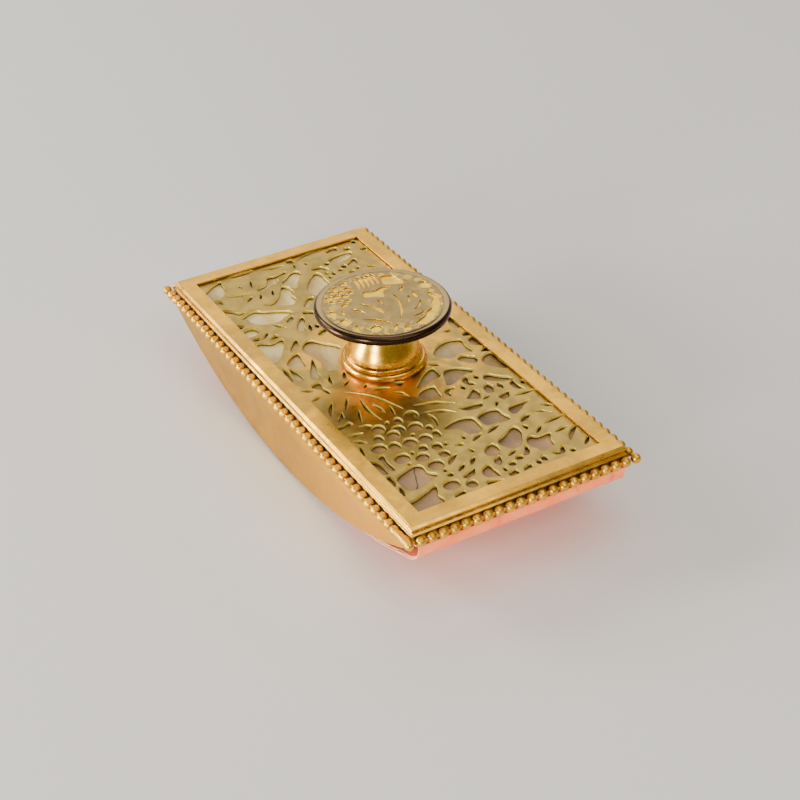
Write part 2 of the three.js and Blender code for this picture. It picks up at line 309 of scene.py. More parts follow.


# %% Ramps along a direction and round the middle
def along(tree, direction, low_mm, high_mm):
    """Goes from 0 to 1 between two heights along a direction."""
    dot = tree.nodes.new("ShaderNodeVectorMath")
    dot.operation = "DOT_PRODUCT"
    dot.inputs[1].default_value = direction
    tree.links.new(tree.nodes.new("ShaderNodeTexCoord").outputs["Object"], dot.inputs[0])
    return spread(tree, dot.outputs["Value"], low_mm * MM, high_mm * MM)


def round_middle(tree, inner_mm, outer_mm):
    """1 near the upright axis through the middle and 0 beyond outer_mm."""
    flat = tree.nodes.new("ShaderNodeVectorMath")
    flat.operation = "MULTIPLY"
    flat.inputs[1].default_value = (1, 1, 0)
    tree.links.new(tree.nodes.new("ShaderNodeTexCoord").outputs["Object"], flat.inputs[0])
    size = tree.nodes.new("ShaderNodeVectorMath")
    size.operation = "LENGTH"
    tree.links.new(flat.outputs["Vector"], size.inputs[0])
    return spread(tree, size.outputs["Value"], inner_mm * MM, outer_mm * MM, 1, 0)


def lay_tone(look, amount, colour):
    """Lays a second tone over a finished look wherever amount is 1."""
    tree = look.node_tree
    base = tree.nodes["Principled BSDF"].inputs["Base Color"]
    tree.links.new(blend_colours(tree, amount, base.links[0].from_socket, colour), base)


def patches(look, size_mm, detail, roughness, distortion, low, high):
    """Uneven patches over a finished look."""
    tree = look.node_tree
    place = tree.nodes["Texture Coordinate"].outputs["Object"]
    return spread(tree, noise(tree, place, size_mm, detail, roughness, distortion), low, high)


# %% The brass recipe
def brass(name, bright, dull, dark, gloss=(0.25, 0.45), cloud_mm=9, pit=0.25, dirt=(0.35, 0.8), reach=1.2,
          metallic=1.0):
    """Gilded brass: bright and dull tones in clouds, dark in crevices. gloss is the roughness range, and
    dirt is the range of openness over which the dark clears."""
    print("brass finish:", name)
    look, tree, shader, place = start_look(name)
    clouds = spread(tree, noise(tree, place, cloud_mm, 4, 0.6, 0.4), 0.36, 0.64)
    specks = noise(tree, place, 0.5, 4, 0.7)
    tone = blend_colours(tree, clouds, bright, dull)
    tone = blend_colours(tree, spread(tree, specks, 0.62, 0.75, 0, 0.5), tone, dull)
    open_air = spread(tree, crevices(tree, reach), dirt[0], dirt[1])
    tree.links.new(blend_colours(tree, open_air, dark, tone), shader.inputs["Base Color"])
    shader.inputs["Metallic"].default_value = metallic
    cloud_gloss = spread(tree, noise(tree, place, 3, 4, 0.6), 0.3, 0.7, gloss[0], gloss[1])
    grime = spread(tree, crevices(tree, reach), dirt[0], dirt[1], 0.35, 0)
    tree.links.new(math_node(tree, "ADD", cloud_gloss, grime), shader.inputs["Roughness"])
    scratches = noise(tree, stretched(tree, place, (0.06, 1, 1), 24), 0.25, 2, 0.5)
    bumps(tree, shader, (specks, pit, 0.06), (scratches, pit * 0.6, 0.03))
    return look


# %% Brass finishes
frame_look = brass("gilt_frame", (1.0, 0.54, 0.05), (0.66, 0.37, 0.05), (0.085, 0.062, 0.02),
                   (0.24, 0.42), cloud_mm=16)
bead_look = brass("gilt_beads", (1.0, 0.56, 0.06), (0.80, 0.42, 0.04), (0.052, 0.048, 0.022),
                  (0.32, 0.48), dirt=(0.34, 0.84), reach=1.6)
vine_look = brass("pierced_vines", (0.56, 0.38, 0.085), (0.42, 0.29, 0.07), (0.14, 0.09, 0.02),
                  (0.28, 0.46), cloud_mm=6, pit=0.4, dirt=(0.3, 0.7), reach=0.6)
# Partly painted highlight: the walls of the openings are much brighter than the panel's face, partly as clean
# cut metal and partly as painted light that draws bright outlines.
cut_and_highlight_look = brass("cut_walls_and_highlight", (1.0, 0.86, 0.18), (0.90, 0.68, 0.10), (0.10, 0.065, 0.012),
                 (0.25, 0.40), cloud_mm=3, dirt=(0.05, 0.45), reach=0.9, metallic=0.5)
cheek_look = brass("satin_cheeks", (0.72, 0.40, 0.012), (0.60, 0.32, 0.010), (0.22, 0.12, 0.03),
                   (0.30, 0.46), cloud_mm=14)
polish_look = brass("polished_knob", (1.0, 0.56, 0.05), (0.92, 0.44, 0.03), (0.30, 0.15, 0.02),
                    (0.22, 0.30), cloud_mm=7, pit=0.03, dirt=(0.1, 0.45))
hidden_look = brass("hidden_brass", (0.60, 0.46, 0.24), (0.46, 0.34, 0.17), (0.10, 0.07, 0.03),
                    (0.45, 0.65))
ground_look = brass("etched_ground", (1.0, 0.72, 0.08), (0.95, 0.58, 0.06), (0.40, 0.24, 0.05),
                    (0.26, 0.42), cloud_mm=3, pit=0.5, reach=0.4)

# %% Second tones: brighter patches round the knob, and painted light on the cheeks
tree = vine_look.node_tree
# The panel turns brighter orange-gold in patches, in a ring round the knob.
knob_patches = patches(vine_look, 9, 3, 0.5, 0.5, 0.35, 0.6)
round_knob = math_node(tree, "MULTIPLY", round_middle(tree, 17, 33), knob_patches)
lay_tone(vine_look, round_knob, (0.98, 0.52, 0.06))
# Painted light: the cheeks turn brighter gold towards the near end, where the light falls on them.
lay_tone(cheek_look, along(cheek_look.node_tree, (1, 0, 0), -5, 50), (1.0, 0.54, 0.04))
print("toned:", vine_look.name, cheek_look.name)

# %% [markdown]
# ## Cover frame
# The frame is a cast moulding: a flat band, a bright chamfer, a small cove and a foot behind the beads.
# A moulding is its section carried round a path, so the section is placed at the four mitres and the
# copies are bridged. Rounding the edges afterwards gives the thin lines of light that gilding shows.

# %% Section of the moulding
BAND = 4.2                                        # width of the flat band
LEDGE = 0.8                                       # thickness of its inner lip
REBATE = 1.5                                      # how far the lip reaches over the panel
FRAME_DEPTH = 4.9
FOOT_TOP = -2.5
CHAMFER = 0.72
cove = arc(FOOT_OUT + 0.05, -1.75, 0.62, 240, 110, 6)
lip = [(-BAND, 0), (-BAND, -LEDGE), (REBATE - BAND, -LEDGE), (REBATE - BAND, -FRAME_DEPTH)]
foot = [(FOOT_OUT, -FRAME_DEPTH), (FOOT_OUT, FOOT_TOP)]
chamfer = [(CHAMFER + 0.05, -CHAMFER - 0.2), (CHAMFER, -CHAMFER), (0, 0)]
section = lip + foot + cove + chamfer
print(f"moulding section: {len(section)} points")

# %% Section carried round the mitres
frame_bm = bmesh.new()
rings = []
for sx, sy in ((1, -1), (1, 1), (-1, 1), (-1, -1)):
    ring = [frame_bm.verts.new((sx * (FACE_X + out), sy * (FACE_Y + out), TOP + z)) for out, z in section]
    rings.append([frame_bm.edges.new((ring[i - 1], ring[i])) for i in range(len(ring))])
for i in range(4):
    bmesh.ops.bridge_loops(frame_bm, edges=rings[i - 1] + rings[i])
bmesh.ops.recalc_face_normals(frame_bm, faces=frame_bm.faces)
soften(frame_bm, 0.1, 30)
finish_piece("cover_moulding", frame_bm, [frame_look], "cover", ["cover_frame"])

# %% [markdown]
# ## Pierced vine panel
# The panel is thin brass with its pattern etched right through. The quickest true way to draw it is the
# etcher's: one flat curve object whose outer spline is the plate and whose inner splines are the
# openings. Blender fills it, gives it thickness, and rounds its edges, and every hole is a real hole.

# %% Three kinds of opening
def slit(x0, y0, x1, y1, width=0.8, bend=0.0):
    """A leaf vein: a thin cut, pointed at both ends, that bends sideways by `bend`."""
    reach = Vector((x1 - x0, y1 - y0))
    side = Vector((-reach.y, reach.x)).normalized()
    start = Vector((x0, y0))
    middle = start + reach / 2 + side * bend
    quarter = [start + reach * k + side * bend * 0.75 for k in (0.25, 0.75)]
    half = side * width / 2
    outline = [start, quarter[0] + half * 0.8, middle + half, quarter[1] + half * 0.8, Vector((x1, y1)),
               quarter[1] - half * 0.8, middle - half, quarter[0] - half * 0.8]
    return [tuple(p) for p in outline]


def grape(x, y, radius=1.5, stretch=1.0, tilt=0):
    """A round or oval hole between grapes."""
    t = math.radians(tilt)
    points = []
    for i in range(8):
        a = math.radians(45 * i)
        wide, long = radius * math.cos(a), radius * stretch * math.sin(a)
        turned_x = wide * math.cos(t) - long * math.sin(t)
        turned_y = wide * math.sin(t) + long * math.cos(t)
        points.append((x + turned_x, y + turned_y))
    return points


def crescent(x, y, radius, start, end, width=1.1):
    """The gap beside a grape: part of a ring, with pointed ends."""
    outer = arc(x, y, radius, start, end, 5)
    inner = arc(x, y, radius - width, end - 22, start + 22, 3)
    return outer + inner


ETCH_SIDE = Vector((-0.8, 0.6))                   # the side on which the etch has bitten more
OPENING_X, OPENING_Y = 63.6, 27.6                 # no opening reaches further out


def widened(outline, far=0.35, around=0.05):
    """Moves the knots outwards, and those on the deeply etched side further."""
    middle = sum((Vector(p) for p in outline), Vector((0, 0))) / len(outline)
    knots = []
    for p in outline:
        away = (Vector(p) - middle).normalized()
        knot = Vector(p) + away * around + ETCH_SIDE * far * max(away.dot(ETCH_SIDE), 0)
        knots.append((max(min(knot.x, OPENING_X), -OPENING_X), max(min(knot.y, OPENING_Y), -OPENING_Y)))
    return knots


# %% Openings of the left third
left_openings = [
    [(-63, 25.6), (-61.6, 26.1), (-61.2, 25), (-62.2, 24.4), (-63, 24.9)],
    [(-57.7, 26.9), (-56.5, 26.8), (-56.3, 25.2), (-57.2, 24.7), (-57.9, 25.6)],
    [(-47.4, 21.8), (-46.5, 23.5), (-45.9, 23.2), (-46.5, 21.6)],
    grape(-59.5, 21.4, 0.8, 1.4),
    [(-62, 18.8), (-60.6, 19), (-60.1, 17), (-60.6, 14.9), (-61.6, 15.6), (-62.3, 17)],
    [(-57.6, 21.3), (-56.6, 21.5), (-54.6, 19.6), (-53.8, 17), (-53.6, 15), (-54.6, 13.6), (-56.4, 13.4),
     (-57.6, 15.4), (-57.9, 18)],
    [(-53.4, 20.4), (-51.4, 20.6), (-49.8, 19.3), (-50.6, 17.3), (-51.8, 17.3), (-52.6, 18.8)],
    grape(-47.8, 18.7, 0.6),
    grape(-50.8, 15.6, 1.0, 0.8),
    grape(-46.9, 16.1, 0.6, 1.6),
    grape(-49.4, 13.6, 0.6, 1.3),
    grape(-54.7, 11.9, 0.8),
    grape(-48.6, 11.0, 0.8, 0.7),
    [(-54.5, 6.7), (-54.4, 9), (-53, 10.4), (-51.4, 11), (-51.7, 9.9), (-52.8, 9), (-53.2, 6.9),
     (-53.8, 6.3)],
    grape(-49.8, 9.2, 0.5),
    grape(-47.2, 9.0, 0.7, 0.6),
    grape(-58.1, 6.6, 0.6, 0.7),
    slit(-63, 14.7, -60.9, 5, 0.9, -0.9),
    [(-62.6, 3.8), (-60.9, 4.1), (-60.4, 2.6), (-61.6, 1.8), (-62.8, 2.4)],
    slit(-59.6, 3.2, -57.6, 2.7, 0.4),
    [(-56, 1.4), (-55.2, 2.4), (-53.9, 2.5), (-52, 1.2), (-49.4, -0.9), (-46.8, -2.4), (-48, -3.4),
     (-50.5, -4.2), (-52.4, -4.4), (-54, -2.2)],
    [(-51.8, 6.4), (-51, 7.2), (-47.5, 7.3), (-43.6, 7), (-42, 4), (-40.3, 0.6), (-42, -0.4), (-44.2, -0.2),
     (-47.9, 1.9), (-50.9, 4.8)],
    slit(-60.9, 0.6, -62.3, -6.8, 1.1, 0.6),
    [(-57.4, -1), (-56.3, -1.2), (-55.5, -3), (-55, -4.8), (-53.6, -4.9), (-52.4, -6.6), (-52.3, -8.6),
     (-51, -10.6), (-51, -12.2), (-52.2, -12.8), (-53.1, -11.4), (-53.8, -9), (-55.6, -7.8), (-57, -7.1),
     (-56.7, -4.6)],
    [(-50.2, -5.5), (-45.4, -4.2), (-45, -5.4), (-42, -5.2), (-39.5, -7.5), (-41.3, -11.5), (-43.4, -14.8),
     (-43.6, -12), (-45, -9.7), (-48, -7.4)],
    slit(-49.6, -9.1, -47, -10.1, 0.55),
    slit(-49.4, -13, -46.9, -14.2, 0.6),
    slit(-58, -12.2, -53.9, -13.5, 0.6),
    slit(-49.6, -15.9, -47.5, -18.1, 0.9),
    slit(-51.8, -15, -53.1, -22.1, 0.9, 0.7),
    slit(-57.6, -17.2, -54.6, -16.2, 0.4, 0.3),
    [(-63, -8.8), (-62.2, -9.2), (-61.8, -12), (-62.1, -16), (-63, -17)],
    [(-62, -20), (-60.5, -20.3), (-57, -20.8), (-54, -23), (-53.4, -25.6), (-54.5, -27.4), (-57.5, -27.4),
     (-60, -24.6), (-61.5, -22)],
    [(-52.9, -27.4), (-52.5, -24.8), (-50, -24.7), (-50.4, -27.4)],
    [(-47.6, -27.4), (-46, -25), (-43.6, -23), (-43, -21.4), (-42, -22.6), (-43, -25), (-44.4, -27.4)],
    [(-36, -9.6), (-34.6, -12.6), (-33.2, -16), (-34.2, -20), (-37, -22.2), (-39, -22.6), (-40, -24),
     (-41.2, -22), (-42, -19), (-40.5, -17), (-38.7, -13)],
    [(-34.1, -10.9), (-32.7, -10.8), (-30.9, -13), (-32, -13.7)],
    [(-32, -8.6), (-30, -8.7), (-28, -10), (-25, -11), (-26, -12.9), (-27.5, -12.4), (-30, -11)],
    grape(-25.3, -7.2, 0.9, 0.7),
    slit(-27.2, -8.7, -23.8, -9.9, 0.9),
    [(-23.2, -5.6), (-21.8, -6), (-20.2, -8.4), (-21, -9.1), (-22.4, -8.2)],
    [(-34.6, -7), (-33.2, -4.5), (-31.5, -5), (-33, -7.4)],
    [(-40, -0.8), (-38.5, -1.5), (-36, -4.6), (-36.6, -5.4), (-39, -3.6), (-40.4, -2)],
    slit(-32.4, -17.5, -29.5, -15, 0.9, -0.2),
    [(-34, -24), (-32.4, -22.6), (-30.6, -23.4), (-30, -26), (-30.4, -27.4), (-33, -27.4)],
    slit(-29.9, -20.9, -27.2, -23.6, 0.8, 0.3),
    [(-27.3, -19.6), (-26.2, -18.8), (-25.4, -20.4), (-26, -21.8)],
    grape(-27.9, -25.2, 0.7, 1.3),
    [(-38.2, -27.4), (-36, -25), (-34.8, -27.4)],
    [(-24.5, -19), (-22, -19.6), (-18.5, -21.8), (-14.6, -25.8), (-15, -27.3), (-20, -27.5), (-25.2, -27.3),
     (-25.9, -25.2), (-24, -22.6)],
    [(-22.2, -15.7), (-20.5, -15.9), (-17.2, -18.2), (-16.8, -19.5), (-18.5, -19.3), (-20.5, -17.7)],
]

# %% Openings round the knob
middle_openings = [
    [(-10, 27.3), (-8.5, 26), (-5.5, 25.2), (-3.5, 26), (-3.8, 27.3), (-7, 27.5)],
    [(-0.6, 27.4), (1.4, 27.4), (1, 25.3), (-0.3, 25.6)],
    [(2.2, 27.4), (3.3, 25.3), (6, 25), (7.6, 27.4)],
    [(9, 27.4), (10.2, 25.2), (11, 27.4)],
    [(11.9, 27.2), (12.6, 24.5), (14.5, 22.9), (17.5, 23.5), (20.3, 26), (20.6, 27.3), (16, 27.5)],
    grape(-3.6, 22.8, 0.45, 2.2),
    [(1.1, 21.9), (2, 23.6), (5, 23.2), (8.7, 23.5), (7.9, 19.4), (8.9, 16.6), (7.4, 14.6), (5, 13.2),
     (3, 14.6), (1.4, 16.6), (0.7, 19.4)],
    [(9.2, 19.9), (10.2, 20.6), (11.5, 22.4), (14.1, 21.2), (13, 19), (10.4, 17.5), (9.4, 18.4)],
    [(8.1, 9.2), (9, 11), (10.2, 11.3), (9, 9.5)],
    [(12.9, 13.7), (15, 16.6), (16.9, 18.3), (17.8, 17.2), (17.6, 15.6), (18.3, 13), (19.4, 11.2),
     (19.6, 8.4), (17.5, 9.1), (12.9, 11.6)],
    grape(20.3, 17.1, 0.85, 0.7),
    crescent(20.8, 15, 2.2, 185, 370, 1.5),
    grape(22.7, 11.4, 1.0, 0.6),
    crescent(22.8, 7.9, 2.0, 120, 320, 1.2),
    [(10.3, 9.2), (12.5, 9.6), (14.8, 9), (15.3, 6), (16.3, 3), (16.4, 0.7), (14, 3), (11.6, 5.9)],
    [(11, -3.2), (12, -0.8), (13.3, -2.6)],
    slit(12.4, -5.4, 10.4, -11.7, 0.9, -0.3),
    slit(7.6, -10, 8.8, -11.1, 0.6),
    slit(-0.9, -12.1, 2.3, -13.7, 0.9),
    slit(3.5, -12.8, 5.5, -15.4, 0.7, -0.2),
    slit(-1.1, -16.6, 3.1, -17.6, 0.8, -0.3),
    [(-19.9, -13.1), (-16, -9.6), (-12.5, -7), (-10.4, -8.4), (-6.4, -11), (-3.2, -13.1), (-4.3, -15.9),
     (-8.2, -15.2), (-12, -15.9), (-16.4, -16.6)],
    [(-10.7, -16.7), (-7.4, -17.3), (-4.6, -18.1), (-2.3, -18.7), (-2.5, -20.9), (-5, -20.2), (-8.2, -18.4)],
    [(-15.7, -18.8), (-12, -19), (-8.6, -19.9), (-9.4, -21.6), (-10.4, -23.2), (-12.1, -23.6), (-15, -20.9)],
    [(-9.6, -24.3), (-7, -23.2), (-3.1, -23), (-3.1, -24.8), (-6, -24.7)],
    slit(-10.6, -25.9, -3.9, -26.2, 0.9),
    [(0.3, -20.3), (3, -20.8), (6, -19.9), (6.6, -20.5), (3.5, -21.7), (1.7, -23.2), (0.6, -23)],
    slit(1.4, -26.5, 3.3, -23.7, 0.7),
    slit(6.5, -23.5, 7.3, -26.3, 0.7),
    slit(7.6, -17, 22.6, -7.4, 0.75, 1.1),
    slit(12.6, -14.9, 24, -14.8, 0.7, -0.8),
    slit(17.2, -13.5, 21.8, -12.3, 0.6, 0.3),
    slit(19.8, -9.9, 24, -10.6, 0.55),
    slit(14.6, -5.6, 18.6, -3, 0.55, 0.3),
    slit(17.2, -17.8, 22.6, -19.7, 0.6, -0.2),
    slit(10.8, -17.7, 15.6, -20.9, 0.7),
    slit(10.5, -22.2, 16, -25.3, 1.0, -0.3),
    [(15.8, -22.2), (18, -22.6), (19.6, -24.6), (18.6, -24.9), (17.2, -23.4)],
]

# %% Openings of the right third
right_openings = [
    grape(28.8, 26.5, 0.8, 0.8),
    [(26.4, 24.6), (28, 23), (30.8, 23.6), (31.4, 25.4), (29.6, 24.9)],
    [(20.4, 20), (23, 22.6), (25.4, 25.2), (26, 23), (24, 20), (22.4, 18.4)],
    [(25.6, 20.6), (27, 21.2), (28.6, 20.4), (27, 19.6)],
    [(24.6, 17.9), (25.5, 16.1), (28.2, 15.7), (28.6, 17.3), (26.2, 18.6)],
    [(30.3, 20.9), (32.6, 19.7), (33, 17.7), (31.4, 17.1), (30.6, 18.6)],
    slit(33.6, 27.4, 33.1, 21.2, 1.0),
    [(36.9, 23.2), (37.9, 20.8), (39.2, 18.8), (40, 16.3), (38.2, 16), (36.8, 16.9), (36.6, 19.6)],
    slit(42.5, 27.4, 40.1, 24.6, 0.9),
    slit(44.5, 25.2, 41.4, 21.1, 0.6),
    slit(47.3, 27.4, 47.8, 20.6, 1.0, -0.1),
    slit(51.9, 25, 52.5, 20.9, 0.9, -0.1),
    slit(52.8, 27.4, 57.3, 22.2, 1.2, -0.5),
    slit(58.4, 27.2, 60.9, 24.2, 0.8),
    grape(61.3, 20.1, 0.6, 1.2),
    slit(42.4, 19.8, 44.1, 15.8, 1.3, -0.2),
    [(45.5, 15.3), (46.6, 16.2), (47.6, 15.3), (46.4, 15)],
    [(51.9, 19.4), (54.2, 18.2), (56.5, 17.7), (57, 15.6), (57.6, 13.9), (56, 13), (52.9, 11.9), (50.4, 14.2),
     (51.6, 15.6)],
    crescent(59.2, 16.9, 1.9, -80, 110, 1.2),
    grape(60.4, 11.9, 1.0, 0.8),
    grape(61.0, 9.9, 0.8, 0.8),
    [(60.5, 7.6), (61.7, 7.4), (61.9, 4.8), (60.9, 5.6)],
    [(53.6, 10.7), (54.7, 10.9), (56.1, 10.3), (56.9, 9.2), (56.4, 8.4), (55.3, 9.5)],
    [(35.8, 13.4), (38.4, 13.8), (41, 14.5), (41.6, 13.5), (40.9, 10), (40.4, 7.4), (38.2, 7.1), (36.2, 7.3)],
    [(35.5, 5.7), (38.2, 6.1), (40.7, 5.8), (42, 4), (41.6, 1.6), (40, 1.1), (38.2, 0.4), (37.2, -1.6),
     (36.4, -2.9), (35.1, -1.5)],
    slit(42.1, 10.3, 43.8, 5.7, 1.1, -0.2),
    [(44.8, 12.9), (46.6, 13.6), (49.7, 12.4), (52.2, 10.1), (52.7, 8), (51.5, 6.6), (48.3, 5.8), (46.7, 9)],
    slit(43.1, 4.2, 44.7, 0.6, 1.0, -0.2),
    grape(42.1, -0.7, 0.6, 0.8),
    [(48.2, 3.9), (50.5, 4.6), (52.7, 3.2), (52.8, 1.4), (51.5, 0.4), (49.6, 0.9)],
    [(53.6, 2.8), (55.5, 2.4), (57, 0.8), (55.5, 0.2), (54.1, 1)],
    slit(53.6, 7.9, 54.8, 4.8, 0.8),
    grape(58.1, 3.8, 0.8, 1.2),
    grape(59.2, 0.9, 0.8, 0.5),
    [(60.5, 3), (62.2, 3.4), (62.4, 0.8), (61, 0.6)],
    [(55.3, -1.7), (57.4, -1.5), (60.4, -1.3), (60.2, -3.4), (59, -4.8), (57, -4.5), (55.8, -3.2)],
    [(60.9, -5), (61.8, -2.8), (62.4, -1.6), (62.5, -6), (61.4, -6.2)],
    slit(50.7, -2.8, 53, -5.2, 1.0, -0.2),
    slit(51.8, -6.6, 53.7, -9.4, 0.9),
    [(54.6, -5.4), (56.8, -6.8), (57.3, -9.2), (56.2, -9.9), (55.4, -7.8)],
    slit(47.2, -6, 50, -10, 1.2, -0.3),
    grape(53.8, -12, 0.7, 1.1),
    grape(51.6, -12.2, 0.5),
    grape(57.5, -13.9, 1.9, 1.2, 10),
    grape(59.8, -9.4, 1.5, 1.0),
    [(61, -12.8), (62, -12.4), (62.4, -15.8), (61.5, -15.4)],
    [(55.7, -17.6), (57.4, -18), (59.2, -18.9), (61, -18.4), (62.6, -19.2), (62.4, -27.4), (58.5, -27.4),
     (57.6, -24), (56.6, -20.4)],
    [(46, -17.4), (47, -16.3), (49.8, -16.3), (51.9, -14.5), (53.2, -18.2), (54.4, -22), (53.6, -24.2),
     (50, -24.6), (48.2, -24.2), (46.4, -20.4)],
    slit(31.9, -25.7, 35.6, -26.4, 0.7),
    [(38.4, -26.6), (40.5, -25.1), (43, -24.7), (45.3, -25.1), (45.2, -26.1), (42, -26.3)],
    [(46.4, -25.6), (49.6, -25.4), (50.8, -26.5), (46.8, -26.6)],
    slit(51.7, -25.6, 55.3, -26.2, 0.9),
    slit(26.9, -22, 26.3, -26.8, 0.8),
    slit(31.1, -23, 28.9, -26.2, 0.8),
    [(20.7, -22.8), (22, -22.2), (22.2, -26.6), (21, -26.8), (21.3, -24.6)],
    [(31.2, 11.9), (32.8, 11), (32.5, 7), (30.4, 5.2), (30.6, 8.4)],
    slit(29.4, 15.6, 30.3, 13.0, 0.7),
    [(24.6, 13.4), (27, 14), (29.4, 12.4), (27.6, 9.5), (26.4, 10.9)],
    slit(27.8, 5.8, 23, -4, 0.9, -0.5),
    slit(31.7, 4, 27.2, -3.4, 0.9, -0.5),
    [(18, 4.9), (21, 4.7), (23.2, 4.4), (22.6, 1.8), (22.2, -0.8), (19.4, -0.6), (17.9, 1.6)],
    slit(28.6, -3.3, 34.2, -3.7, 0.9, 0.6),
    grape(56.9, 6.7, 0.8, 1.3),
    slit(43.9, -4.4, 44.6, -2.0, 0.8),
    slit(47.2, -2.3, 49.2, -1.5, 0.7),
    grape(26.2, -14.5, 0.5, 1.2),
    slit(23.8, -21.4, 25.2, -18.2, 0.6),
    slit(48.3, 19.2, 50.2, 16.6, 0.7),
    slit(33.0, 15.6, 34.6, 14.2, 0.6),
]

# %% Grapes of the large bunch
bunch_openings = [
    crescent(26.5, -7.2, 2.0, 20, 250, 0.9),
    grape(31.5, -8.85, 1.9, 1.0, 30),
    crescent(30.4, -13.4, 1.9, 40, 220, 1.2),
    grape(31.8, -15.65, 1.7, 1.2, 60),
    grape(27.5, -17.65, 1.9, 0.9),
    grape(31.3, -19.75, 1.6, 0.8),
    grape(35, -21.75, 1.9, 1.1),
    grape(41.6, -18.8, 1.9, 1.15, 15),
    grape(36.8, -13.55, 1.9, 1.0, 20),
    grape(37.3, -9.25, 1.9, 0.9, 20),
    grape(43.9, -14.15, 1.7, 1.2, 30),
    grape(48.4, -12.85, 2.0, 1.1, 20),
    grape(45.5, -8.6, 1.5, 0.9, 20),
    grape(42.1, -6.2, 0.6, 0.8),
    grape(41.8, -8.55, 1.5, 0.9),
    grape(37.1, -5.75, 1.7, 0.6),
    grape(40.6, -12.0, 1.3, 0.9),
    grape(41, -15.5, 0.6, 0.7),
    grape(36.1, -17.75, 1.8, 0.8, 10),
    [(37.9, -22.3), (40.5, -22.8), (44.8, -22.7), (44.8, -23.6), (40.5, -24.0), (38.1, -23.8)],
    grape(33.7, -6.0, 1.1, 0.8),
    grape(34.2, -11.4, 0.5, 1.2),
    grape(26.9, -11.35, 1.5, 0.7),
    grape(44.6, -18.6, 0.4, 1.4),
]

# %% Openings hidden by the knob: a second leaf and a few large gaps
shaded_openings = [
    [(-40, 24.6), (-36, 26.2), (-32.4, 25), (-34, 22.6), (-38, 22.4)],
    [(-29.6, 26.6), (-25, 27.2), (-21.6, 25.8), (-24, 23.8), (-28.4, 24.2)],
    [(-19.5, 26.8), (-15.5, 27.2), (-13.4, 25), (-16, 23.2), (-19, 24.4)],
    [(-43, 20.6), (-39.6, 20.2), (-36.8, 17.6), (-39, 15), (-42.6, 16.6)],
    [(-43.6, 12.6), (-40.2, 12.6), (-38.2, 9.6), (-40.2, 7.6), (-43, 9)],
    slit(-34, 20.4, -26, 13.4, 0.8, 0.6),
    slit(-27.6, 21.6, -24.6, 14.6, 0.8, 0.4),
    slit(-20, 20.8, -22.4, 14.4, 0.8, -0.4),
    slit(-35.4, 12.6, -27, 11.4, 0.8, 0.5),
    slit(-33, 5.4, -26.6, 9.4, 0.8, -0.4),
    slit(-24.4, 3.4, -23.4, 9.2, 0.8, -0.4),
    [(-15, 20.6), (-10.6, 21), (-9, 17.6), (-11.6, 15.4), (-15, 17)],
    [(-17.6, 12), (-13.6, 13), (-12, 9.6), (-14.4, 7), (-18, 8.6)],
    [(-34.6, 1.6), (-30.6, 2.6), (-27, 0.6), (-28.4, -2.2), (-33, -1.6)],
    [(-20.6, 2.2), (-16.4, 3.4), (-13.8, 0.4), (-15.8, -2.4), (-20, -1.6)],
]

all_lists = (left_openings, middle_openings, right_openings, bunch_openings, shaded_openings)
print("openings drawn:", [len(openings) for openings in all_lists])


# %% A filled outline with thickness
HANDLE = 0.195                                    # handle length, as a share of the two neighbours' reach
FEW_KNOTS, ANGULAR = 6, 0.45                      # openings with fewer knots are drawn less round


def add_spline(curve, outline, roundness):
    """One closed line. Each handle points along the mean of its two neighbours' directions, and is
    shorter at a sharp turn, so that corners stay crisp."""
    spline = curve.splines.new("BEZIER")
    spline.bezier_points.add(len(outline) - 1)
    spline.use_cyclic_u = True
    places = [Vector((x, y, 0)) for x, y in outline]
    for i, (knot, here) in enumerate(zip(spline.bezier_points, places)):
        arriving, leaving = here - places[i - 1], places[(i + 1) % len(places)] - here
        swing = (arriving.normalized() + leaving.normalized()) * HANDLE * roundness
        knot.handle_left_type = knot.handle_right_type = "FREE"
        knot.co = here
        knot.handle_left = here - swing * arriving.length
        knot.handle_right = here + swing * leaving.length


def sheet_from_outlines(outer, holes, thickness, edge, steps=4, outer_round=0.0):
    """A flat plate standing on z = 0, with smooth holes and its edges rounded by `edge`."""
    curve = bpy.data.curves.new("outline", "CURVE")
    curve.dimensions = "2D"
    curve.fill_mode = "BOTH"
    curve.extrude = thickness / 2 - edge
    curve.bevel_depth = edge
    curve.bevel_resolution = 1
    curve.offset = -edge
    curve.resolution_u = steps
    add_spline(curve, outer, outer_round)
    for hole in holes:
        add_spline(curve, hole, ANGULAR if len(hole) < FEW_KNOTS else 1)
    outline_object = bpy.data.objects.new("outline", curve)
    bpy.context.scene.collection.objects.link(outline_object)
    bpy.context.view_layer.update()
    evaluated = outline_object.evaluated_get(bpy.context.evaluated_depsgraph_get())
    bm = bmesh.new()
    bm.from_mesh(evaluated.to_mesh())
    evaluated.to_mesh_clear()
    bpy.data.objects.remove(outline_object)
    bpy.data.curves.remove(curve)
    bmesh.ops.remove_doubles(bm, verts=bm.verts, dist=1e-4)
    bmesh.ops.translate(bm, vec=(0, 0, thickness / 2), verts=bm.verts)
    return bm


def colour_walls(bm):
    """Upright and rounded faces take the second material. On the vine panel that is a bright brass, partly
    the cut metal's own colour and partly a painted highlight that outlines each opening.
    """
    for face in bm.faces:
        if abs(face.normal.z) < 0.9:
            face.material_index = 1


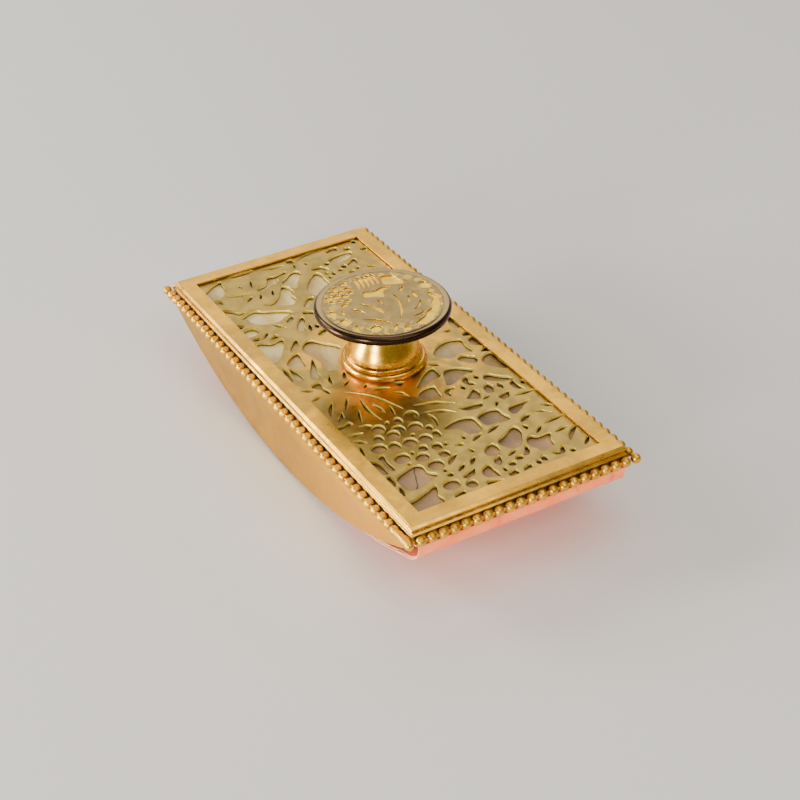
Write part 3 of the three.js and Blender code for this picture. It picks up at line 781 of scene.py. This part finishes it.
# %% The pierced plate
STUD_HOLE = 3.0
panel_low, panel_high = node_box("pierced_panel")
plate_outline = [(panel_low.x, panel_low.y), (panel_high.x, panel_low.y), (panel_high.x, panel_high.y),
                 (panel_low.x, panel_high.y)]
wide_openings = left_openings + middle_openings + right_openings + shaded_openings
openings = [widened(outline) for outline in wide_openings]
openings += [widened(outline, 0.25) for outline in bunch_openings] + [grape(0, 0, STUD_HOLE)]
panel_bm = sheet_from_outlines(plate_outline, openings, panel_high.z - panel_low.z, 0.2)
bmesh.ops.translate(panel_bm, vec=(0, 0, panel_low.z), verts=panel_bm.verts)
colour_walls(panel_bm)
finish_piece("vine_panel", panel_bm, [vine_look, cut_and_highlight_look], "cover", ["pierced_panel"], 30)
print(f"{len(openings)} openings")

# %% [markdown]
# ## Slag glass behind the vines
# A sheet of opaque marbled glass shows through the openings. It is cast, so its face is glossy but not
# flat. A block with a finely divided, gently waved top gives broken reflections that a flat one cannot.
# Cream at the far end turns to mauve at the near end, and one old crack crosses the near corner.


# %% A crack in the glass
def hairline(tree, place, start, end, width_mm, wander):
    """1 on a thin wandering line between two points given in millimetres, 0 elsewhere."""
    start, end = Vector(start), Vector(end)
    span = end - start
    middle = (start + span / 2) * MM
    mapping = tree.nodes.new("ShaderNodeMapping")
    mapping.vector_type = "TEXTURE"
    mapping.inputs["Location"].default_value = (middle.x, middle.y, 0)
    mapping.inputs["Rotation"].default_value = (0, 0, math.atan2(span.y, span.x))
    tree.links.new(place, mapping.inputs["Vector"])
    parts = tree.nodes.new("ShaderNodeSeparateXYZ")
    tree.links.new(mapping.outputs["Vector"], parts.inputs["Vector"])
    wandering = noise(tree, place, 5, 3, 0.7)
    shift = math_node(tree, "MULTIPLY_ADD", wandering, wander * MM, parts.outputs["Y"], clamp=False)
    sideways = math_node(tree, "SUBTRACT", shift, wander * MM / 2, clamp=False)
    from_line = math_node(tree, "ABSOLUTE", sideways, clamp=False)
    from_middle = math_node(tree, "ABSOLUTE", parts.outputs["X"], clamp=False)
    thin = spread(tree, from_line, width_mm * MM * 0.3, width_mm * MM, 1, 0)
    short = spread(tree, from_middle, span.length * MM * 0.42, span.length * MM * 0.5, 1, 0)
    return math_node(tree, "MULTIPLY", thin, short)


# %% Marbled glass finish
glass_look, tree, shader, place = start_look("slag_glass")
swirl = noise(tree, stretched(tree, place, (0.5, 1, 1), 35), 13, 5, 0.55, 1.5)
veil = noise(tree, stretched(tree, place, (1, 0.45, 1), 15), 30, 3, 0.5, 0.8)
cream = blend_colours(tree, spread(tree, swirl, 0.36, 0.64), (1.0, 0.82, 0.38), (0.78, 0.52, 0.16))
mauve = blend_colours(tree, spread(tree, swirl, 0.36, 0.64), (0.36, 0.23, 0.09), (0.25, 0.15, 0.07))
tone = blend_colours(tree, along(tree, (1, -0.2, 0), -20, 26), cream, mauve)
tone = blend_colours(tree, spread(tree, veil, 0.46, 0.66, 0, 0.7), tone, (0.45, 0.25, 0.12))
crack = hairline(tree, place, (44.5, -17.2), (56.0, -22.6), 0.28, 2.4)
tone = blend_colours(tree, crack, tone, (0.07, 0.05, 0.03))
# Painted shade: the glass darkens to near black where the panel's walls crowd it, standing in for the shade
# under the pierced plate.
panel_shade = spread(tree, crevices(tree, 2.2), 0.2, 0.72)
tree.links.new(blend_colours(tree, panel_shade, (0.09, 0.06, 0.03), tone), shader.inputs["Base Color"])
smears = noise(tree, place, 1.5, 4, 0.6)
tree.links.new(spread(tree, smears, 0.4, 0.7, 0.20, 0.40), shader.inputs["Roughness"])
shader.inputs["Specular IOR Level"].default_value = 0.25
ripples, grain = noise(tree, place, 4, 3, 0.5), noise(tree, place, 0.4, 2, 0.5)
bumps(tree, shader, (ripples, 0.25, 0.25), (grain, 0.15, 0.03))
print("glass finish:", glass_look.name)

# %% Glass block with a waved face
def new_verts(extruded):
    """The new vertices of an extruded face region."""
    return [item for item in extruded["geom"] if isinstance(item, bmesh.types.BMVert)]


glass_low, glass_high = node_box("glass_panel")
glass_size = glass_high - glass_low
glass_bm = bmesh.new()
bmesh.ops.create_grid(glass_bm, x_segments=64, y_segments=28, size=0.5)
bmesh.ops.scale(glass_bm, vec=(glass_size.x, glass_size.y, 1), verts=glass_bm.verts)
for v in glass_bm.verts:
    v.co.z = -0.12 + 0.1 * field.noise(v.co / 9) + 0.03 * field.noise(v.co / 2.5)
underside = bmesh.ops.extrude_face_region(glass_bm, geom=list(glass_bm.faces))
for v in new_verts(underside):
    v.co.z = -glass_size.z
bmesh.ops.recalc_face_normals(glass_bm, faces=glass_bm.faces)
soften(glass_bm, 0.2, 60)
bmesh.ops.translate(glass_bm, vec=(0, 0, glass_high.z), verts=glass_bm.verts)
finish_piece("slag_glass", glass_bm, [glass_look], "cover", ["glass_panel"])

# %% [markdown]
# ## Beaded edge
# Four strips of beaded wire are soldered round the foot of the frame. Real beaded wire is one rod
# pressed into balls, so each strip is a thin rod with a ball at every step. The balls are small and many,
# so each has few faces and relies on smooth shading. No two balls are quite alike after a century. At
# the near left corner, solder has run over the last balls and filled the gaps between them.

# %% Rod and ball
BEAD_R = 1.4
BEAD_Z = node_box("bead_strip_left")[0].z + BEAD_R
WIRE_R = 0.42


def rod(bm, start, end, radius, end_radius=None, segments=12):
    """A round bar between two points."""
    start, end = Vector(start), Vector(end)
    turn = (end - start).to_track_quat("Z", "Y").to_matrix().to_4x4()
    made = bmesh.ops.create_cone(bm, cap_ends=True, segments=segments, radius1=radius,
                                 radius2=end_radius or radius, depth=(end - start).length)
    bmesh.ops.transform(bm, matrix=Matrix.Translation((start + end) / 2) @ turn, verts=made["verts"])


def ball(bm, centre, radius, sizes=(1, 1, 1)):
    """A small ball, stretched by `sizes`."""
    made = bmesh.ops.create_uvsphere(bm, u_segments=12, v_segments=8, radius=radius)
    bmesh.ops.scale(bm, vec=sizes, verts=made["verts"])
    bmesh.ops.translate(bm, vec=centre, verts=made["verts"])


# %% Beaded strips
def bead_strip(node, count, skip=0):
    """One strip along its CAD node's long direction. The last `skip` beads are left for the solder."""
    low, high = node_box(node)
    middle = (low + high) / 2
    lengthwise = Vector((1, 0, 0)) if high.x - low.x > high.y - low.y else Vector((0, 1, 0))
    half = (high - low).dot(lengthwise) / 2 - BEAD_R
    bm = bmesh.new()
    start, end = middle - lengthwise * half, middle + lengthwise * half
    start.z = end.z = BEAD_Z
    rod(bm, start, end, WIRE_R)
    for i in range(count - skip):
        place = start.lerp(end, i / (count - 1))
        uneven = 1 + 0.05 * field.noise(place * 3.7)
        ball(bm, place + Vector((0, 0, 0.08 * field.noise(place))), BEAD_R * uneven - 0.03)
    return bm, end


LONG_COUNT, SHORT_COUNT = 44, 20
strips = (("bead_strip_right", LONG_COUNT), ("bead_strip_near", SHORT_COUNT), ("bead_strip_far", SHORT_COUNT))
for node, count in strips:
    strip_bm, _ = bead_strip(node, count)
    finish_piece(node.replace("strip", "row"), strip_bm, [bead_look], "cover", [node], 60)

# %% The soldered corner
SOLDERED = 3
strip_bm, strip_end = bead_strip("bead_strip_left", LONG_COUNT, SOLDERED)
solder_start = strip_end + Vector((-7.6, 0, 0))
rod(strip_bm, solder_start, strip_end, 1.0, 1.2)
ball(strip_bm, strip_end, 1.22)
ball(strip_bm, solder_start + Vector((0.6, 0, 0)), 1.22, (1.5, 1, 1))
ball(strip_bm, solder_start + Vector((3.2, 0.1, 0)), 1.16, (1.4, 1, 1))
ball(strip_bm, strip_end + Vector((-2.2, 0.5, 0)), 1.2, (1.9, 1, 0.9))
finish_piece("bead_row_left", strip_bm, [bead_look], "cover", ["bead_strip_left"], 60)

# %% [markdown]
# ## Rocker cheeks
# The two cheeks are sheet brass sawn to a shallow arc. The true arc gives a cleaner long edge than a
# chain of short straight cuts, and a fine rounding along it catches the light as burnished metal does.

# %% Cheeks
PAPER_R = 142.6                                   # radius of the paper's outer face
REST_HALF = 2.5                                   # half of the short flat that it rests on
ROCKER_Z = math.sqrt(PAPER_R ** 2 - REST_HALF ** 2)


def rocker_angle(radius, x):
    """Angle, in degrees, of the point at x on an arc about the rocker's centre."""
    return math.degrees(math.atan2(-math.sqrt(radius ** 2 - x ** 2), x))


for node in ("cheek_left", "cheek_right"):
    low, high = node_box(node)
    edge_r = ROCKER_Z - low.z
    outline = arc(0, ROCKER_Z, edge_r, rocker_angle(edge_r, low.x), rocker_angle(edge_r, high.x), 72)
    outline += [(high.x, high.z), (low.x, high.z)]
    bm = bmesh.new()
    face = bm.faces.new([bm.verts.new((x, low.y, z)) for x, z in outline])
    grown = bmesh.ops.extrude_face_region(bm, geom=[face])
    bmesh.ops.translate(bm, vec=(0, high.y - low.y, 0), verts=new_verts(grown))
    bmesh.ops.recalc_face_normals(bm, faces=bm.faces)
    soften(bm, 0.2, 30)
    finish_piece(node + "_plate", bm, [cheek_look], "rocker", [node])

# %% [markdown]
# ## Blotting paper
# Three leaves of pink blotting paper wrap the rocker and are tucked in over both ends. A leaf bends
# one way only, so each is a flat grid carried along a path in side view. The near end has sprung loose.
# The grid's sideways edge wanders a little, as torn and handled paper does, before it gets its thickness.


# %% Paper finishes
def paper(name, fresh, worn, stain):
    """Soft paper: two tones in clouds, darker blots, fibres in the tone, painted shade in crevices, the gloss
    and the bumps.
    """
    print("paper finish:", name)
    look, tree, shader, place = start_look(name)
    fibres = noise(tree, place, 0.35, 4, 0.75)
    clouds = spread(tree, noise(tree, place, 12, 4, 0.6, 0.5), 0.35, 0.65)
    tone = blend_colours(tree, clouds, fresh, worn)
    tone = blend_colours(tree, spread(tree, fibres, 0.4, 0.75, 0, 0.35), tone, worn)
    blots = noise(tree, stretched(tree, place, (1, 1, 0.6)), 7, 3, 0.5, 0.6)
    tone = blend_colours(tree, spread(tree, blots, 0.60, 0.70, 0, 0.75), tone, stain)
    # Painted shade: the paper darkens where little open space is found, between the leaves and under the
    # frame.
    open_air = spread(tree, crevices(tree, 3), 0.15, 0.6)
    dark = tuple(channel * 0.45 for channel in worn)
    tree.links.new(blend_colours(tree, open_air, dark, tone), shader.inputs["Base Color"])
    tree.links.new(spread(tree, fibres, 0.3, 0.7, 0.84, 0.97), shader.inputs["Roughness"])
    shader.inputs["Sheen Weight"].default_value = 0.05
    bumps(tree, shader, (noise(tree, place, 5, 3), 0.3, 0.3), (fibres, 0.5, 0.06))
    return look


leaf_look = paper("pink_blotting", (0.97, 0.20, 0.055), (0.98, 0.30, 0.12), (0.66, 0.09, 0.07))
leaf_edge_look = paper("pale_paper_edge", (0.96, 0.44, 0.26), (0.95, 0.54, 0.34), (0.80, 0.30, 0.20))


# %% Side view of the wrap
def smooth_path(knots, steps):
    """A smooth line through knots (x, z), with `steps` points for each stretch."""
    line = [Vector(k) for k in knots]
    line = [line[0] * 2 - line[1]] + line + [line[-1] * 2 - line[-2]]
    points = []
    for before, start, end, after in zip(line, line[1:], line[2:], line[3:]):
        swing = 2 * before - 5 * start + 4 * end - after
        sway = 3 * start - before - 3 * end + after
        for i in range(steps):
            t = i / steps
            points.append(0.5 * (2 * start + (end - before) * t + swing * t ** 2 + sway * t ** 3))
    return points + [line[-2]]


def at_share(path, share):
    """The point and the outward direction at a share of a path's length."""
    steps = [(b - a).length for a, b in zip(path, path[1:])]
    goal = share * sum(steps)
    for i, step in enumerate(steps):
        if goal <= step or i == len(steps) - 1:
            break
        goal -= step
    forward = (path[i + 1] - path[i]).normalized()
    return path[i] + forward * goal, Vector((forward.y, -forward.x))


far_turn = [(-57, 19.05), (-64, 19.05), (-67, 19.0), (-67.7, 18.4)]
near_turn = [(44, 6.3), (50, 8.0), (57.5, 10.7), (63.5, 13.1), (67.3, 14.4), (69.2, 15.4), (69.9, 16.8),
             (69.6, 18.4), (68.8, 19.0), (66, 19.05), (57, 19.05)]
under = arc(0, ROCKER_Z, PAPER_R, rocker_angle(PAPER_R, -67.3), rocker_angle(PAPER_R, 37.5), 24)
wrap = smooth_path(far_turn + under + near_turn, 5)
print(f"wrap: {len(wrap)} points")

# %% Leaves
LEAF = 0.17                                       # thickness of one leaf
CORNER = 2.0                                      # radius of the leaves' loose corners
NEAR_END = 69.6
LOOSE_FROM, LOOSE_OVER = 40, 25                   # the near end comes loose gradually, along x
TUCK_Z, TUCK_OVER = 19, 3                         # and is held again where it is tucked in


def clamped(value):
    """Holds a value between 0 and 1."""
    return min(max(value, 0), 1)


def leaf(name, depth, half_width, loose, slip, seed):
    """One leaf whose middle lies `depth` inside the wrap. `loose` lets its near end spring outwards, and
    `slip` is how far that end has slid towards the left cheek."""
    bm = bmesh.new()
    bmesh.ops.create_grid(bm, x_segments=150, y_segments=28, size=1)
    for v in bm.verts:
        share, across = (v.co.x + 1) / 2, v.co.y
        point, outward = at_share(wrap, share)
        free = clamped((point.x - LOOSE_FROM) / LOOSE_OVER) * clamped((TUCK_Z - point.y) / TUCK_OVER)
        end_gap = min(max(CORNER - (NEAR_END - point.x), 0), CORNER - 0.5)
        sag = loose * free * (0.5 * field.noise((point.x / 14, across * 2.2, seed)) - 0.3 * max(across, 0))
        point = point - outward * (depth - sag)
        rough_edge = 0.35 * field.noise((point.x / 5, across, seed + 7)) * abs(across) ** 6
        corner = CORNER - math.sqrt(CORNER ** 2 - end_gap ** 2)
        y = across * (half_width - corner + rough_edge) - slip * free
        v.co = (point.x, y, max(point.y, LEAF / 2))
    bmesh.ops.recalc_face_normals(bm, faces=bm.faces)
    bmesh.ops.solidify(bm, geom=bm.faces, thickness=LEAF)
    bmesh.ops.recalc_face_normals(bm, faces=bm.faces)
    for face in bm.faces:
        if abs(face.normal.y) > 0.7:
            face.material_index = 1
    replaced = ["blotting_paper"] if seed == 0 else []
    finish_piece(name, bm, [leaf_look, leaf_edge_look], "rocker", replaced)


leaf("blotting_leaf_outer", 0.1, 31.45, 0.3, 0.8, 0)
leaf("blotting_leaf_middle", 0.3, 31.35, 0.1, 0.6, 1)
leaf("blotting_leaf_inner", 0.5, 31.25, 0.0, 0.5, 2)

# %% [markdown]
# ## Knob
# The knob is turned work, so its cap, neck and base ring are half-profiles spun about the upright axis.
# Only the round stretches need many points. The profile is closed on itself or ends on the axis, and a
# merged full spin leaves no seam.


# %% Turned work
def turned(profile, steps=96):
    """Spins a half-profile of (radius, height above the cover) into a solid."""
    bm = bmesh.new()
    verts = [bm.verts.new((r, 0, TOP + z)) for r, z in profile]
    edges = [bm.edges.new(pair) for pair in zip(verts, verts[1:])]
    if profile[0][0] > 0 or profile[-1][0] > 0:
        edges.append(bm.edges.new((verts[-1], verts[0])))
    bmesh.ops.spin(bm, geom=verts + edges, cent=(0, 0, 0), axis=(0, 0, 1), angle=math.tau, steps=steps,
                   use_merge=True)
    bmesh.ops.remove_doubles(bm, verts=bm.verts, dist=1e-4)
    bmesh.ops.recalc_face_normals(bm, faces=bm.faces)
    return bm


# %% Dark rim finish with a lighter crest, partly worn and partly painted light
rim_look = brass("dark_rim", (0.070, 0.038, 0.022), (0.045, 0.024, 0.014), (0.012, 0.007, 0.004),
                 (0.18, 0.30), cloud_mm=6, pit=0.12, dirt=(0.0, 0.3))
CREST_UP = (-0.0104, 0.006, 1)                    # the lighter crest reaches further down on the far side
# Partly painted light: the top of the rim turns light taupe, partly as wear on the crest and partly as
# painted light from above, while the side facing down stays dark.
lit_worn_crest = along(rim_look.node_tree, CREST_UP, TOP + 17.62, TOP + 17.78)
lay_tone(rim_look, lit_worn_crest, (0.44, 0.31, 0.13))

# %% Cap with its rolled rim
BORE = 2.7
RIM = (17.4, 16.6)                                # centre of the rolled rim's section
RIM_R = 1.3


def smooth_profile(knots):
    """A smooth stretch of a half-profile."""
    return [tuple(point) for point in smooth_path(knots, 4)]


flare = smooth_profile([(9.1, 11.9), (10.5, 12.7), (12.8, 13.7), (15.3, 14.6), (17.1, 15.3)])
rolled = arc(*RIM, RIM_R, -78, 116, 14)
seat = [(16.45, 17.79), (16.45, 16.4), (0, 16.4)]
cap_profile = [(0, 13.0), (BORE, 13.0), (BORE, 11.9)] + flare + rolled + seat
finish_piece("cap_rim", turned(cap_profile), [rim_look], "knob", ["knob_cap"])

# %% Neck and base ring
waist = smooth_profile([(10.1, 3.4), (9.9, 4.2), (9.5, 5.3), (9.0, 6.4), (8.4, 7.6), (7.9, 8.8),
                        (7.7, 9.9), (7.9, 10.9), (9.1, 11.8)])
ledge = arc(10.2, 2.0, 0.58, -70, 70, 7)
neck_profile = [(BORE, 1.4), (10.2, 1.4)] + ledge + [(10.0, 2.85), (9.95, 3.2)] + waist + [(BORE, 11.8)]
finish_piece("knob_neck", turned(neck_profile), [polish_look], "knob", ["knob_column"])
ring_profile = [(3, -0.3), (10.0, -0.3), (10.2, -0.7)] + arc(10.75, 0.45, 1.15, -80, 115, 13)
ring_profile += [(10.1, 1.25), (9.6, 1.2), (3, 1.3)]
finish_piece("base_ring", turned(ring_profile), [polish_look], "knob", ["knob_base_ring"])

# %% [markdown]
# ## Vine medallion on top of the knob
# The top is a low dome with the same vine etched into it: a brown relief stands on a gilt ground. The
# relief is drawn flat as a plate with openings, cut by a fine grid of planes so that it can bend, and
# then every point is lifted by the height of the dome under it.

# %% Gilt ground
DISC_R = 16.4
RELIEF = 0.38


def dome(radius):
    """Height of the medallion's ground above the cover."""
    return 17.92 - 0.45 * (radius / DISC_R) ** 2


DISC_BOTTOM = 16.5
STEPS = 12
dome_line = [(DISC_R * k / STEPS, dome(DISC_R * k / STEPS)) for k in range(STEPS, -1, -1)]
disc = turned([(0, DISC_BOTTOM), (DISC_R, DISC_BOTTOM)] + dome_line)
finish_piece("medallion_ground", disc, [ground_look], "knob", ["knob_medallion"])

# %% Openings of the relief
relief_openings = [
    slit(-2.2, 4.3, 9.8, -0.2, 0.75, 1.2),
    slit(-2, -6.1, 7, -2.6, 0.9, 0.9),
    slit(-1.1, -9.4, 3.4, -6.9, 0.8, 0.4),
    slit(5.2, -9.2, 11.2, -3.4, 0.9, 0.8),
    slit(0.8, 7.5, 4.4, 5.6, 0.6, 0.1),
    slit(4.5, 9.1, 7.9, 5.3, 0.6, 0.5),
    slit(9.9, 7, 10.7, 3.6, 0.55, 0.2),
    slit(-1.4, -1.3, 1.9, -0.8, 0.5, 0.3),
    [(-11.0, 9.2), (-5.4, 9.8), (-7.6, 4.8), (-12, 6.4)],
    [(-6.6, 4), (-5.3, 5.6), (-4.6, 2.9), (-1.6, 1.5), (-3.4, -1), (-4.2, -3.2), (-7.0, -1.8), (-6.0, 0.6)],
    [(-0.6, 9.8), (2.8, 9.6), (2.9, 8.7), (0.8, 8.8)],
    [(-4.1, 8.4), (-3.2, 8.6), (-1.8, 6.9), (-2.8, 6.6)],
    [(-3.9, 14.9), (0.2, 15.3), (-0.6, 13), (-3, 13.1)],
    [(2, 13.4), (4, 14.2), (6.6, 14.0), (9.6, 12.2), (12.4, 9.4), (14.3, 6.4), (15.2, 3.4), (14.1, 2.2),
     (12.8, 4.2), (11.6, 6.6), (10.4, 7.6), (9.4, 9.8), (6.8, 11.2), (5.4, 12.6), (3.2, 12.4)],
    grape(14.7, -0.7, 1.0),
    slit(11.7, -2.4, 14.4, -4.6, 1.1),
    [(9.3, -7.4), (11.1, -6.4), (12.6, -8.7), (11.5, -9.8), (9.8, -9.4)],
    [(2, -12.8), (4.8, -12.2), (5.5, -14.2), (2.8, -14.7)],
    slit(6.6, -11.8, 9.6, -12.2, 0.9, -0.3),
    slit(-1.9, -11.6, 0.9, -12.4, 0.8, 0.3),
    [(-2.2, -13.2), (0.2, -14.2), (1.2, -15.4), (-1.4, -15.4), (-3.4, -14.2)],
]

# %% Petals and grapes of the relief
PETALS = 5
GRAPE_ROWS = ((-13.6, -4.6, 3), (-12.9, -7.0, 4), (-11.3, -9.2, 4), (-9.3, -11.4, 2))    # x, y, count
for k in range(PETALS):
    relief_openings.append(slit(-15.0, 4.4 - 1.35 * k, -8.4, 3.6 - 1.5 * k, 1.05, 0.5))
for row, (x, y, count) in enumerate(GRAPE_ROWS):
    for i in range(count):
        swing, sway = math.sin(5.1 * row + 2.3 * i), math.cos(3.7 * row + 4.1 * i)
        grape_x, grape_y = x + 2.6 * i + 0.12 * swing, y - 0.15 * i + 0.12 * sway
        size, squash = 1.02 + 0.1 * sway, 0.95 - 0.2 * abs(swing)
        relief_openings.append(grape(grape_x, grape_y, size, squash, 70 * i + 40 * row))
print(f"{len(relief_openings)} openings in the relief")

# %% Relief finish, with gilding left near the rim
relief_look = brass("brown_relief", (0.46, 0.32, 0.11), (0.38, 0.26, 0.09), (0.12, 0.08, 0.04),
                    (0.30, 0.48), cloud_mm=5, pit=0.4, dirt=(0.1, 0.5), reach=0.6)
tree = relief_look.node_tree
near_rim = math_node(tree, "SUBTRACT", 1, round_middle(tree, 10, 15.5))
gilded = math_node(tree, "MULTIPLY", near_rim, patches(relief_look, 2.5, 4, 0.65, 0.8, 0.50, 0.56))
lay_tone(relief_look, gilded, (0.90, 0.62, 0.12))

# %% Relief bent over the dome
CUT = 1.05                                        # spacing of the planes that let the relief bend
CUTS = 15
SUNK = 0.04
rim_circle = arc(0, 0, DISC_R - 0.02, 0, 350, 35)
relief_bm = sheet_from_outlines(rim_circle, relief_openings, RELIEF, 0.08, 3, 1)
for k in range(-CUTS, CUTS + 1):
    for across in (Vector((1, 0, 0)), Vector((0, 1, 0))):
        everything = relief_bm.verts[:] + relief_bm.edges[:] + relief_bm.faces[:]
        bmesh.ops.bisect_plane(relief_bm, geom=everything, plane_co=across * (CUT * k), plane_no=across)
for v in relief_bm.verts:
    v.co.z += TOP + dome(math.hypot(v.co.x, v.co.y)) - SUNK
colour_walls(relief_bm)
finish_piece("medallion_relief", relief_bm, [relief_look, ground_look], "knob", corner=30)

# %% [markdown]
# ## Finishes on the carried-over hard parts
# The parts inside are never seen unless the cover is lifted, yet they are real brass and leather. They
# keep their hard shape and only get a finish.

# %% Washer leather
leather_look, tree, shader, place = start_look("washer_leather")
grain = noise(tree, place, 0.6, 3, 0.6)
blotches = spread(tree, noise(tree, place, 4, 3), 0.35, 0.65)
hide = blend_colours(tree, blotches, (0.10, 0.05, 0.025), (0.05, 0.03, 0.02))
hide = blend_colours(tree, spread(tree, grain, 0.5, 0.7, 0, 0.5), hide, (0.17, 0.09, 0.045))
tree.links.new(hide, shader.inputs["Base Color"])
tree.links.new(spread(tree, grain, 0.3, 0.7, 0.55, 0.8), shader.inputs["Roughness"])
bumps(tree, shader, (grain, 0.5, 0.1))
print("leather finish:", leather_look.name)

# %% Finishes for the inner parts
finishes = {"knob_washer": leather_look, "rocker_bottom": cheek_look}
for name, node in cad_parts.items():
    if name.startswith(("backing", "spacer", "retaining", "cross", "threaded", "knob_stud")):
        finishes[name] = hidden_look
for name, look in finishes.items():
    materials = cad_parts[name].data.materials
    for i in range(len(materials)):
        materials[i] = look
print("finished nodes:", ", ".join(sorted(finishes)))
